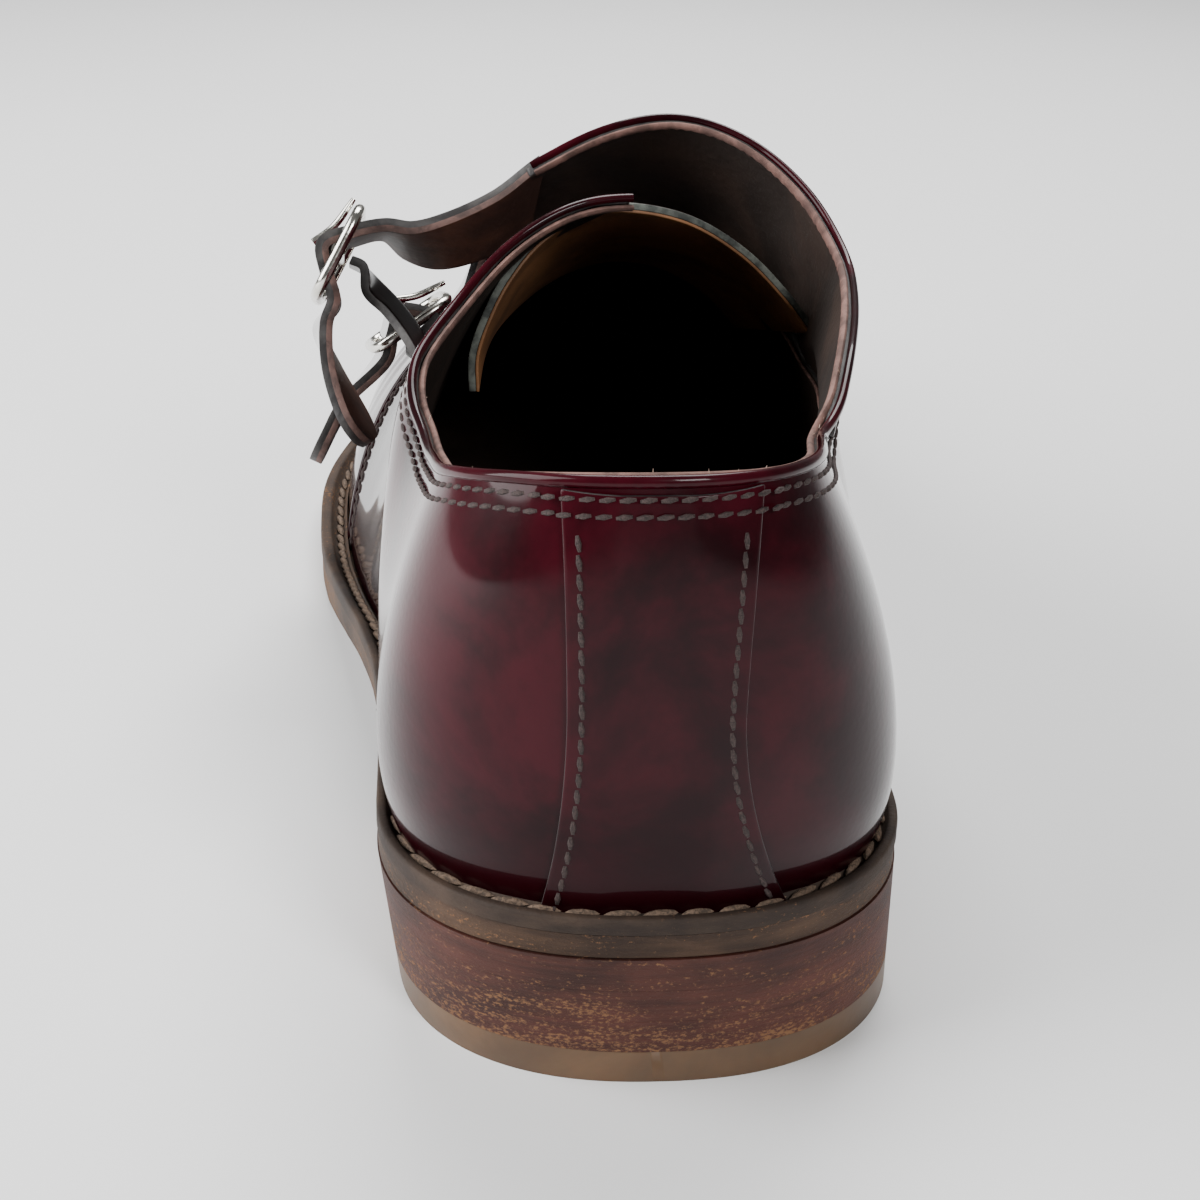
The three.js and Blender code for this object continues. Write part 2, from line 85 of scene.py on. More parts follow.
def table(columns, *rows):
    data = np.array(rows, float)
    return {name: data[:, i] for i, name in enumerate(columns.split())}


SOLE = table(
    "along lateral medial under sole welt ledge",
    (0, 38.8, 37.4, 21.5, 3.3, 2.5, 3.8),
    (35, 39.1, 37.9, 21.5, 3.3, 2.5, 3.8),
    (60, 39.8, 37.4, 21.5, 3.4, 2.5, 3.8),
    (74, 41.2, 36.2, 21.2, 3.5, 2.5, 3.8),
    (90, 44, 34.4, 19.4, 3.8, 2.6, 4),
    (112, 48.2, 33, 14.2, 4.2, 2.8, 4.4),
    (134, 51.6, 34.6, 7.2, 4.8, 3.1, 5),
    (154, 54.6, 38.8, 2, 5.2, 3.4, 5.6),
    (172, 56.6, 43.8, 0, 5.4, 3.5, 6),
    (192, 57.4, 48.4, 0, 5.4, 3.5, 6),
    (206, 56.6, 50.6, 0, 5.4, 3.5, 6),
    (230, 52.8, 53, 1.6, 5.4, 3.5, 6),
    (260, 49, 55, 6.2, 5.4, 3.5, 6),
    (298, 46, 56, 14, 5.4, 3.5, 6),
)
LAST = table(
    "along crown drift round bellyLat bellyMed bellyRise",
    (0, 112, 2, 1.75, 4.4, 4.6, 0.6),
    (30, 112, 3, 1.72, 4.4, 4.6, 0.6),
    (55, 111.5, 2.5, 1.85, 4.2, 5, 0.62),
    (75, 109, -1, 2.15, 2.4, 6, 0.75),
    (95, 102.2, -7, 2.25, 0.6, 7.5, 0.95),
    (110, 97, -12, 2.2, 0.2, 8.5, 1),
    (125, 91, -13.5, 2.15, 0, 8, 1),
    (140, 84, -13, 2.1, 0, 6.5, 0.95),
    (156, 76.5, -12, 2.1, 0.4, 4.5, 0.8),
    (174, 68.5, -9.5, 2.1, 0.8, 2.4, 0.7),
    (195, 61, -6.5, 2.15, 1, 1, 0.6),
    (220, 53, -3, 2.25, 1, 1, 0.6),
    (250, 46, -1, 2.4, 1, 1, 0.6),
    (298, 44, 0, 2.5, 1, 1, 0.6),
)
BACK_CURVE = table(
    "share forward", (0, 0), (0.15, -1.7), (0.3, -2.5), (0.5, -1.6), (0.72, 1.6), (1, 6)
)
OPENING = table(
    "along side up medSide medUp",
    (-12, 12, 89.6, -12, 89.6),
    (3, 15, 89.4, -14, 89.4),
    (14, 23.5, 86.2, -21, 87),
    (28, 29, 81, -25.5, 84),
    (44, 31.5, 78, -28, 80),
    (58, 33.5, 79.6, -33, 74),
    (70, 32.5, 84, -36, 69),
    (82, 26.5, 89.5, -37.5, 67),
    (91, 16, 96.5, -38, 66),
    (98.5, -4, 100.4, -38, 65),
    (101, 4, 99, -38, 65),
    (105, 13, 95, -38, 65),
    (120, 13, 92, -37, 65),
    (130, 10, 89, -33, 74),
)
FLAP = table(
    "side along up toAlong toArch clear",
    (-27, 46, 79, 146, 0.9, -1.4),
    (-32.4, 64, 85, 151, 0.84, -0.6),
    (-37.2, 87, 87.6, 156, 0.78, 0.8),
    (-38.6, 105, 90, 161, 0.71, 1.6),
    (-34, 120, 97, 166, 0.64, 1.8),
    (-24.5, 130, 103.4, 170, 0.57, 2),
    (-13, 136, 105.8, 172, 0.5, 2),
    (0, 137.5, 103, 172, 0.43, 2),
    (14, 137, 95.8, 170, 0.36, 2),
)
TONGUE = table(
    "side along up toAlong toArch",
    (23.9, 90, 69.8, 138, 0.26),
    (23.9, 91, 75.8, 139, 0.29),
    (21.4, 92.5, 82.9, 140.5, 0.33),
    (18.4, 94.5, 88.1, 142, 0.37),
    (13.4, 97.5, 93.5, 143, 0.41),
    (5.3, 101.5, 97.5, 143.5, 0.46),
    (-1.9, 104, 97.5, 144, 0.5),
    (-12.5, 107, 94.6, 144, 0.55),
    (-22.6, 110, 88, 144, 0.61),
    (-30.9, 113, 79.4, 143, 0.66),
    (-36.7, 116, 71.8, 142, 0.71),
)
ROUTE = "side along up overSide overAlong overUp"
FASTENINGS = {
    "upper": {
        "middle": (49.4, 141, 78.6),
        "across": (0.05, 0.93, -0.36),
        "run": (0.44, 0.03, -0.9),
        "dip": 5.6,
        "before": table(
            ROUTE,
            (14.2, 144, 88.8, 0.1, 0.63, -0.77),
            (21, 144, 83.8, 0.12, 0.65, -0.75),
            (30, 143.5, 80.6, 0.1, 0.75, -0.66),
            (36, 143, 80.8, 0.08, 0.85, -0.5),
        ),
        "after": table(
            ROUTE,
            (52.6, 139.8, 65, 0.14, 0.92, -0.35),
            (50.8, 135.5, 58.5, 0, 0.93, -0.33),
            (47.4, 130.5, 52, -0.1, 0.93, -0.3),
            (43.6, 125.5, 46.6, -0.12, 0.93, -0.3),
        ),
        "chape": table(
            ROUTE,
            (43, 139, 72.8, -0.2, 0.93, -0.15),
            (39.3, 135, 70.2, -0.2, 0.93, -0.15),
            (35.6, 128, 67.5, -0.2, 0.93, -0.15),
            (33.4, 121, 66, -0.2, 0.93, -0.15),
        ),
    },
    "lower": {
        "middle": (37.3, 164.8, 57.9),
        "across": (0.1, 0.95, -0.28),
        "run": (0.82, 0.03, -0.58),
        "dip": 3.9,
        "before": table(
            ROUTE,
            (18, 162.6, 75.6, 0.1, 0.74, -0.66),
            (22.5, 164, 71.2, 0.1, 0.82, -0.56),
        ),
        "after": table(
            ROUTE,
            (49.6, 160, 42.4, 0, 0.95, -0.3),
            (53, 158, 36.6, 0, 0.96, -0.28),
            (56, 157, 30.4, 0, 0.96, -0.28),
        ),
        "chape": table(
            ROUTE,
            (34, 152, 58, 0.5, 0.3, -0.8),
            (33.6, 142, 63.4, 0.62, 0.3, -0.72),
        ),
    },
}
BUCKLE = {"across": 29.0, "run": 20.0, "bar": 1.1, "rim": 1.1, "squareness": 5.0}


# ---------------------------------------------------------------- the shape of the last
def column(rows, name, place, by="along"):
    """A column's value between the rows, by a cubic that keeps to the rows."""
    x, y = rows[by], rows[name]
    rise = np.diff(y) / np.diff(x)
    both = rise[:-1] * rise[1:]
    slope = np.zeros(len(x))
    slope[1:-1] = np.where(both > 0, 2 * both / np.where(both > 0, rise[:-1] + rise[1:], 1), 0)
    p = np.clip(place, x[0], x[-1])
    i = np.clip(np.searchsorted(x, p, side="right") - 1, 0, len(x) - 2)
    span = x[i + 1] - x[i]
    t = (p - x[i]) / span
    return (
        y[i] * (2 * t**3 - 3 * t**2 + 1)
        + y[i + 1] * (3 * t**2 - 2 * t**3)
        + span * (slope[i] * (t**3 - 2 * t**2 + t) + slope[i + 1] * (t**3 - t**2))
    )


def end_rounding(along, inset=0.0):
    back = np.clip((along - inset) / (HEEL_END - inset), 0, 1)
    front = np.clip((LENGTH - inset - along) / (LENGTH - inset - TOE_START), 0, 1)
    return (1 - (1 - back) ** 2.3) ** (1 / 2.3) * (1 - (1 - front) ** 2.05) ** (1 / 2.05)


def edges(along, inset=0.0):
    """Side positions of an outline's outer and inner edge."""
    lateral = column(SOLE, "lateral", along) - inset
    medial = column(SOLE, "medial", along) - inset
    half = (lateral + medial) / 2 * end_rounding(along, inset)
    middle = (lateral - medial) / 2
    return middle + half, middle - half


def sole_under(along):
    return column(SOLE, "under", along)


def sole_top(along):
    return sole_under(along) + column(SOLE, "sole", along)


def last_point(along, arch, inset=0.0):
    """A point of the last, at a place over the arch from 0, the outer feather, to 1, the inner one."""
    along, arch, inset = np.broadcast_arrays(
        np.asarray(along, float), np.asarray(arch, float), np.asarray(inset, float)
    )
    ledge = column(SOLE, "ledge", along)
    lateral, medial = edges(along, ledge + inset)
    angle = np.pi * arch
    power = 2 / column(LAST, "round", along)
    share = np.clip(np.sin(angle), 0, 1) ** power
    spread = np.abs(np.cos(angle)) ** power
    ends = end_rounding(along, ledge + inset)
    bulge = np.sin(np.pi * share ** column(LAST, "bellyRise", along)) * ends
    outer = arch < 0.5
    belly = np.where(outer, column(LAST, "bellyLat", along), column(LAST, "bellyMed", along)) * bulge
    side = (
        (lateral + medial) / 2
        + column(LAST, "drift", along) * share
        + np.where(outer, 1, -1) * ((lateral - medial) / 2 * spread + belly)
    )
    side = side + GAPE * np.exp(-(((along - GAPE_ALONG) / 12) ** 2) - ((arch - GAPE_ARCH) / 0.1) ** 2)
    base = sole_top(along) + GAP
    up = base + (column(LAST, "crown", along) - base - inset) * share
    heel_fade = np.clip(1 - along / 60, 0, 1) ** 1.5
    toe_fade = np.clip((along - TOE_START) / (LENGTH - TOE_START), 0, 1) ** 2
    forward = column(BACK_CURVE, "forward", share, "share") * heel_fade
    setback = (TOE_SETBACK - inset) * toe_fade * (1 - spread)
    return np.stack([side, along + forward - setback, up], -1)


def unit(vectors):
    return vectors / np.maximum(np.linalg.norm(vectors, axis=-1, keepdims=True), 1e-9)


def last_normal(along, arch):
    """The outward direction of the last's surface."""
    along, arch = np.broadcast_arrays(np.asarray(along, float), np.asarray(arch, float))
    step = 0.5
    forward = last_point(along + step, arch) - last_point(np.maximum(along - step, 4.0), arch)
    over = last_point(along, np.clip(arch + 0.004, 0, 1)) - last_point(along, np.clip(arch - 0.004, 0, 1))
    normal = unit(np.cross(forward, over))
    outward = last_point(along, arch) - np.stack([0 * along, np.maximum(along, 32), 40 + 0 * along], -1)
    return normal * np.where((normal * outward).sum(-1, keepdims=True) < 0, -1, 1)


def in_opening(points):
    """Whether points of the last lie inside the opening for the foot."""
    side, along, up = points[..., 0], points[..., 1], points[..., 2]
    outer_side, outer_up = (np.interp(along, OPENING["along"], OPENING[k]) for k in ("side", "up"))
    inner_side, inner_up = (np.interp(along, OPENING["along"], OPENING[k]) for k in ("medSide", "medUp"))
    heart = 52.0
    above = (inner_side - outer_side) * (up - outer_up) - (inner_up - outer_up) * (side - outer_side) < 0
    past_outer = outer_side * (up - heart) - (outer_up - heart) * side > 0
    past_inner = inner_side * (up - heart) - (inner_up - heart) * side < 0
    return above & past_outer & past_inner & (along < THROAT)


def find_rims():
    """The topline's outer and inner places over the arch at each station, which meet past the throat."""
    along = np.linspace(SOLE["ledge"][0] + 0.01, THROAT + 4, 300)
    arch = np.linspace(0, 1, 401)
    inside = in_opening(last_point(along[:, None], arch[None, :]))
    has = inside.any(1)
    count = len(arch)
    ends = []
    for first, toward in ((inside.argmax(1), -1), (count - 1 - inside[:, ::-1].argmax(1), 1)):
        within, without = arch[first], arch[np.clip(first + toward, 0, count - 1)]
        for _ in range(12):
            middle = (within + without) / 2
            hit = in_opening(last_point(along, middle))
            within, without = np.where(hit, middle, within), np.where(hit, without, middle)
        ends.append(within)
    along, lateral, medial = along[has], ends[0][has], ends[1][has]
    closed = np.linspace(along[-1] + 0.6, LENGTH, 120)
    meeting = (lateral[-1] + medial[-1]) / 2
    middle = 0.5 + (meeting - 0.5) * np.clip(1 - (closed - along[-1]) / 50, 0, 1) ** 2
    return (
        np.concatenate([along, closed]),
        np.concatenate([lateral, middle]),
        np.concatenate([medial, middle]),
    )


RIMS = find_rims()


def stations(u, start, end):
    """Stations round the shoe: the toe at 0, the heel's back at 0.5 and the toe again at 1."""
    t = np.abs(2 * u - 1)
    return start + (end - start) * (1 - np.cos(np.pi * t)) / 2


def around(u, inset=0.0):
    """Station of a place round the upper, and whether it is on the outer side."""
    return stations(u, SOLE["ledge"][0] + inset, LENGTH - SOLE["ledge"][-1] - inset), u < 0.5


def welt_point(u, share, height, clear=0.0):
    """A point of the welt: a share of the way in from its edge, and a share of its thickness up."""
    along = stations(u, share * (SOLE["ledge"][0] - clear), LENGTH - share * (SOLE["ledge"][-1] - clear))
    outer, inner = edges(along, share * (column(SOLE, "ledge", along) - clear))
    up = sole_top(along) + GAP + height * column(SOLE, "welt", along)
    return np.stack([np.where(u < 0.5, outer, inner), along, up], -1)


def rim_arch(along, outer):
    return np.where(outer, np.interp(along, RIMS[0], RIMS[1]), np.interp(along, RIMS[0], RIMS[2]))


def upper_place(u, v, inset=0.0):
    """Station and arch of a place on the upper: v runs from the feather to the topline."""
    along, outer = around(u, inset)
    rim = rim_arch(along, outer)
    return along, np.where(outer, v * rim, 1 - v * (1 - rim))


def creases(along, arch):
    """How far the leather sinks below the last: flex creases over the vamp and faint waves elsewhere."""
    across = np.clip(np.sin(np.pi * arch), 0, 1)
    depth = 0 * along
    for middle, deep, wide, bow, phase in (
        (184, 0.55, 2.6, 9, 0.0),
        (193, 0.8, 3.0, 7, 1.3),
        (203, 0.75, 2.8, 5, 2.4),
        (213, 0.5, 2.6, 4, 4.0),
    ):
        line = middle + bow * (arch - 0.5) ** 2 * 4 + 1.6 * np.sin(9 * arch + phase)
        away = (along - line) / wide
        depth = depth + deep * across**1.5 * (np.exp(-(away**2)) - 0.7 * np.exp(-((away - 1.6) ** 2)))
    waves = (
        0.16 * np.sin(along / 6.1 + 5 * arch)
        + 0.14 * np.sin(along / 11.0 - 13 * arch + 1.0)
        + 0.12 * np.sin(along / 4.1 + 21 * arch + 2.0)
    )
    fade = np.clip((along - 12) / 20, 0, 1) * np.clip((260 - along) / 40, 0, 1)
    return depth * np.clip((250 - along) / 40, 0, 1) + waves * fade * across


# ---------------------------------------------------------------- curves
def smooth_line(points, t):
    """A curve through points, read at shares t of its length in rows."""
    points = np.asarray(points, float)
    last = len(points) - 1
    place = np.clip(np.asarray(t, float), 0, 1) * last
    i = np.clip(place.astype(int), 0, last - 1)
    w = (place - i)[..., None]
    padded = np.vstack([2 * points[0] - points[1], points, 2 * points[-1] - points[-2]])
    p0, p1, p2, p3 = (padded[i + k] for k in range(4))
    pairs = ((p0, p1), (p1, p2), (p2, p3))
    d0, d1, d2 = (np.maximum(np.sqrt(np.linalg.norm(b - a, axis=-1, keepdims=True)), 1e-4) for a, b in pairs)
    m1 = ((p1 - p0) / d0 - (p2 - p0) / (d0 + d1) + (p2 - p1) / d1) * d1
    m2 = ((p2 - p1) / d1 - (p3 - p1) / (d1 + d2) + (p3 - p2) / d2) * d1
    return (
        p1 * (2 * w**3 - 3 * w**2 + 1)
        + p2 * (3 * w**2 - 2 * w**3)
        + m1 * (w**3 - 2 * w**2 + w)
        + m2 * (w**3 - w**2)
    )


def columns_of(rows, *names):
    return np.stack([rows[n] for n in names], -1)


def by_length(points, normals, pitch):
    """Points and normals read again at even steps along their line."""
    steps = np.linalg.norm(np.diff(points, axis=0), axis=1)
    length = np.concatenate([[0], np.cumsum(steps)])
    even = np.linspace(0, length[-1], max(2, int(round(length[-1] / pitch)) + 1))
    read = [np.stack([np.interp(even, length, a[:, k]) for k in range(3)], -1) for a in (points, normals)]
    return read[0], unit(read[1])


def flap_point(t, w):
    """The flap over the instep: t from the inner side outwards, w from the topline to the front edge."""
    rear = columns_of(FLAP, "side", "along", "up")
    front = last_point(FLAP["toAlong"], FLAP["toArch"], -FLAP["clear"])
    a, b = smooth_line(rear, t), smooth_line(front, t)
    w = np.asarray(w, float)[..., None]
    points = a * (1 - w) + b * w + np.array([0, 0, 1.2]) * np.sin(np.pi * np.clip(w, 0, 1)) * 0.8
    low, high = np.full(points.shape[:-1], 0.5), np.full(points.shape[:-1], 1.0)
    for _ in range(24):
        middle = (low + high) / 2
        above = last_point(points[..., 1], middle)[..., 2] > points[..., 2]
        low, high = np.where(above, middle, low), np.where(above, high, middle)
    wall = last_point(points[..., 1], low)
    lap = -0.9 + 1.2 * np.clip(np.broadcast_to(t, wall.shape[:-1]) / 0.15, 0, 1)
    short = np.maximum(points[..., 0] - (wall[..., 0] - lap), 0)
    fade = np.clip((88 - points[..., 2]) / 14, 0, 1) * np.clip((-points[..., 0] - 12) / 10, 0, 1)
    points[..., 0] -= short * fade
    return points


def flap_normal(t, w):
    along_t = flap_point(np.clip(t + 0.01, 0, 1), w) - flap_point(np.clip(t - 0.01, 0, 1), w)
    along_w = flap_point(t, np.clip(w + 0.05, 0, 1)) - flap_point(t, np.clip(w - 0.05, 0, 1))
    normal = unit(np.cross(along_t, along_w))
    outward = flap_point(t, w) - np.array([-5, 130, 40])
    return normal * np.where((normal * outward).sum(-1, keepdims=True) < 0, -1, 1)


def share_at(along_limit, outer):
    """The place round the shoe where a side reaches a station."""
    u = np.linspace(0, 0.5, 2000) if outer else np.linspace(0.5, 1, 2000)
    return u[np.abs(around(u)[0] - along_limit).argmin()]


def topline(distance):
    """The line that follows the topline at a distance below it, over both quarters and then the flap."""
    u = np.linspace(share_at(TIP - 0.4, True), share_at(FLAP_START, False), 500)
    along, outer = around(u)
    rim = rim_arch(along, outer)
    span = np.linspace(0, 0.5, 60)
    reach = np.where(outer[:, None], rim[:, None] * (1 - span), 1 - (1 - rim[:, None]) * (1 - span))
    wall = last_point(along[:, None], reach)
    walked = np.concatenate(
        [np.zeros((len(u), 1)), np.cumsum(np.linalg.norm(np.diff(wall, axis=1), axis=2), 1)], 1
    )
    arch = np.array([np.interp(distance, walked[i], reach[i]) for i in range(len(u))])
    points, normals = last_point(along, arch), last_normal(along, arch)
    t = np.linspace(0.04, 1, 160)
    width = np.linalg.norm(flap_point(t, 0 * t) - flap_point(t, 0 * t + 1), axis=-1)
    over, over_normals = flap_point(t, distance / width), flap_normal(t, distance / width)
    points = np.vstack([points, over + over_normals * 1.0])
    normals = np.vstack([normals, over_normals])
    points, normals = by_length(points, normals, 1.0)
    kernel = np.ones(9) / 9
    for array in (points, normals):
        for k in range(3):
            padded = np.concatenate([np.full(4, array[0, k]), array[:, k], np.full(4, array[-1, k])])
            array[:, k] = np.convolve(padded, kernel, "valid")
    return points, unit(normals)


def back_point(side, height, proud=0.0):
    """A point of the heel's back at a side and a share of its height from the feather to the topline."""
    base = sole_top(0.0) + GAP
    up = base + (OPENING["up"][0] - base) * height
    low, high = np.full(np.shape(side), SOLE["ledge"][0] + 0.001), np.full(np.shape(side), 60.0)
    outer = side > STRIP_MIDDLE

    def read(station):
        crown, ground = column(LAST, "crown", station), sole_top(station) + GAP
        share = np.clip((up - ground) / (crown - ground), 0, 1)
        arch = np.arcsin(share ** (column(LAST, "round", station) / 2)) / np.pi
        arch = np.where(outer, arch, 1 - arch)
        return arch, last_point(station, arch)

    for _ in range(30):
        middle = (low + high) / 2
        reached = read(middle)[1][..., 0]
        short = np.where(outer, reached < side, reached > side)
        low, high = np.where(short, middle, low), np.where(short, high, middle)
    station = np.maximum(low, SOLE["ledge"][0] + 0.3)
    arch, point = read(station)
    point[..., 0] = side
    normal = last_normal(station, arch)
    normal[..., 0] *= np.clip(np.abs(side - STRIP_MIDDLE) / 4, 0, 1)
    return point + unit(normal) * proud, unit(normal)


def strip_edge(height, outer):
    """How far the back strip reaches to one side: wide at the welt and the topline, narrow at mid height."""
    low, high = np.clip(1 - height / 0.5, 0, 1), np.clip((height - 0.5) / 0.5, 0, 1)
    return np.where(outer, 12.2 + 3.2 * low**2 + 1.0 * high**1.4, 10.8 + 8.0 * low**1.8 + 1.5 * high**1.4)


def buckle_seat(spec):
    """A buckle's directions across the strap and outwards, and a function that places points on it."""
    x = np.array(spec["across"], float)
    x /= np.linalg.norm(x)
    run = np.array(spec["run"], float)
    z = np.cross(x, run)
    z /= np.linalg.norm(z)
    if z[0] < 0:
        z = -z
    y = np.cross(z, x)
    if y @ run < 0:
        y = -y
    middle = np.array(spec["middle"], float)

    def at(across, run_by, out):
        parts = [np.asarray(a, float)[..., None] for a in np.broadcast_arrays(across, run_by, out)]
        return middle + x * parts[0] + y * parts[1] + z * parts[2]

    return x, z, at


def strap_lines(spec):
    """The strap's middle line and the direction across it: to the buckle, over its bar and down the side."""
    x, _, at = buckle_seat(spec)
    weave = np.array([(-8.2, -spec["dip"]), (-4.4, -0.8), (0, 2.9), (4.4, 0), (8, -3.3)])
    through = at(0, weave[:, 0], weave[:, 1])
    middles = [columns_of(spec[k], "side", "along", "up") for k in ("before", "after")]
    overs = [unit(columns_of(spec[k], "overSide", "overAlong", "overUp")) for k in ("before", "after")]
    tucked = middles[0][:1] - 2.2 * unit(middles[0][1] - middles[0][0])
    return (
        np.vstack([tucked, middles[0], through, middles[1]]),
        np.vstack([overs[0][:1], overs[0], np.tile(x, (len(through), 1)), overs[1]]),
    )


def chape_lines(spec):
    """The same for the chape, from under the buckle's bar to the quarter."""
    x, _, at = buckle_seat(spec)
    under = at(0, 0, np.array([-2.6, -5.2]))
    return (
        np.vstack([under, columns_of(spec["chape"], "side", "along", "up")]),
        np.vstack([np.tile(x, (2, 1)), unit(columns_of(spec["chape"], "overSide", "overAlong", "overUp"))]),
    )


def ruled(middle, over, width, narrow=None):
    """A surface across a line: u runs along it and v from one edge to the other."""
    return between(middle - over * width / 2, middle + over * width / 2, narrow)


def between(rear, front, narrow=None):
    """A surface between two curves, with its width cut down by narrow(u)."""

    def place(u, v):
        a, b = smooth_line(rear, u), smooth_line(front, u)
        across = (0.5 + (v - 0.5) * narrow(u) if narrow else v)[:, None]
        return a * (1 - across) + b * across

    return place


def oval(out, low, shift=0.0):
    """An oval section for a swept bar."""
    return lambda angle, share: (out * np.cos(angle) + shift, low * np.sin(angle))


# ---------------------------------------------------------------- making meshes
def in_row(points):
    """Points given by side, along and up, moved into the part's frame, in metres."""
    points = np.asarray(points, float)
    return np.stack(
        [points[..., 0] + HEEL_MIDDLE, HEEL_BACK - points[..., 1], points[..., 2]], -1
    ) * MM


def laid_grid(columns, rows, place, bm=None):
    """A grid of faces whose points are laid on a surface by place(u, v)."""
    bm = bm or bmesh.new()
    made = bmesh.ops.create_grid(bm, x_segments=columns, y_segments=rows, size=1)["verts"]
    u = np.array([v.co.x for v in made]) / 2 + 0.5
    v = np.array([v.co.y for v in made]) / 2 + 0.5
    for vert, co in zip(made, in_row(place(u, v))):
        vert.co = co
    return bm


def face_away(bm, inside):
    """Turns an open sheet so that its faces look away from a point inside the shoe."""
    heart = Vector(in_row(np.array(inside, float)))
    facing = sum(f.calc_area() * f.normal.dot(f.calc_center_median() - heart) for f in bm.faces)
    if facing < 0:
        bmesh.ops.reverse_faces(bm, faces=bm.faces)


def make_piece(bm, name, slot, finishes, replaces=(), inside=None, weld=0.02, sharp=42):
    """Turns a bmesh into a piece of the shoe that rides with it."""
    bmesh.ops.remove_doubles(bm, verts=bm.verts, dist=weld * MM)
    bmesh.ops.dissolve_degenerate(bm, edges=bm.edges, dist=0.001 * MM)
    if inside is None:
        bmesh.ops.recalc_face_normals(bm, faces=bm.faces)
    bm.normal_update()
    if inside is not None:
        face_away(bm, inside)
    mesh = bpy.data.meshes.new(name)
    bm.to_mesh(mesh)
    bm.free()
    mesh.polygons.foreach_set("use_smooth", [True] * len(mesh.polygons))
    mesh.set_sharp_from_angle(angle=math.radians(sharp))
    for finish in finishes:
        mesh.materials.append(finish)
    piece = bpy.data.objects.new(name, mesh)
    bpy.context.scene.collection.objects.link(piece)
    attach(piece, "root")
    if replaces:
        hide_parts(*replaces)
    return piece


def make_sheet(place, grid, name, slot, finishes, inside, thickness, offset, round_by=0.0, replaces=()):
    """Makes a sheet of its real thickness, with finishes for its face, its back and its cut edge."""
    piece = make_piece(laid_grid(*grid, place), name, slot, finishes, replaces, inside)
    solid = piece.modifiers.new("Thickness", "SOLIDIFY")
    solid.thickness = thickness * MM
    solid.offset = offset
    solid.use_quality_normals = True
    solid.material_offset = 1
    solid.material_offset_rim = 2
    if round_by:
        bevel = piece.modifiers.new("Worn edges", "BEVEL")
        bevel.width = round_by * MM
        bevel.segments = 2
        bevel.limit_method = "ANGLE"
        bevel.angle_limit = math.radians(55)


def swept(path, normals, section, closed=False, bm=None):
    """A bar swept along a path: section(angle, share) gives its reach along the normal and down the side."""
    path, normals = np.asarray(path, float), np.asarray(normals, float)
    count = len(path)
    if closed:
        tangent = unit(np.roll(path, -1, 0) - np.roll(path, 1, 0))
    else:
        tangent = unit(np.gradient(path, axis=0))
    normals = unit(normals - tangent * (normals * tangent).sum(-1, keepdims=True))
    down = np.cross(tangent, normals)
    turns = count if closed else count - 1

    def place(u, v):
        i = np.rint(u * turns).astype(int) % count
        out, low = section(2 * np.pi * v, u)
        return path[i] + normals[i] * out[:, None] + down[i] * low[:, None]

    bm = laid_grid(turns, 12, place, bm)
    bmesh.ops.remove_doubles(bm, verts=bm.verts, dist=0.004 * MM)
    bmesh.ops.holes_fill(bm, edges=[e for e in bm.edges if e.is_boundary], sides=0)
    return bm


def sewn(points, normals, length, width, height, proud=0.1, slant=0.0, bm=None, facets=6, tangents=None):
    """A row of stitches: one short thread at each point, along the line."""
    bm = bm or bmesh.new()
    if tangents is None:
        tangents = unit(np.gradient(points, axis=0))
    for p, n, t in zip(points, normals, tangents):
        t = Vector(in_row(p + t) - in_row(p)).normalized()
        n = Vector(in_row(p + n) - in_row(p)).normalized()
        n = (n - t * n.dot(t)).normalized()
        turned = Matrix.Rotation(slant, 3, n) @ t
        across = n.cross(turned)
        basis = Matrix((turned * length / 2, across * width / 2, n * height / 2)).transposed() * MM
        centre = Vector(in_row(p)) + n * proud * MM
        bmesh.ops.create_uvsphere(
            bm, u_segments=facets, v_segments=4, radius=1, matrix=Matrix.Translation(centre) @ basis.to_4x4()
        )
    return bm


def stitch_row(points, normals, proud=0.05, bm=None):
    """A row of the upper's stitches."""
    return sewn(points, normals, *STITCH, proud, STITCH_SLANT, bm)


def stitch_places(points, normals):
    return by_length(points, normals, sizes().stitch / MM)


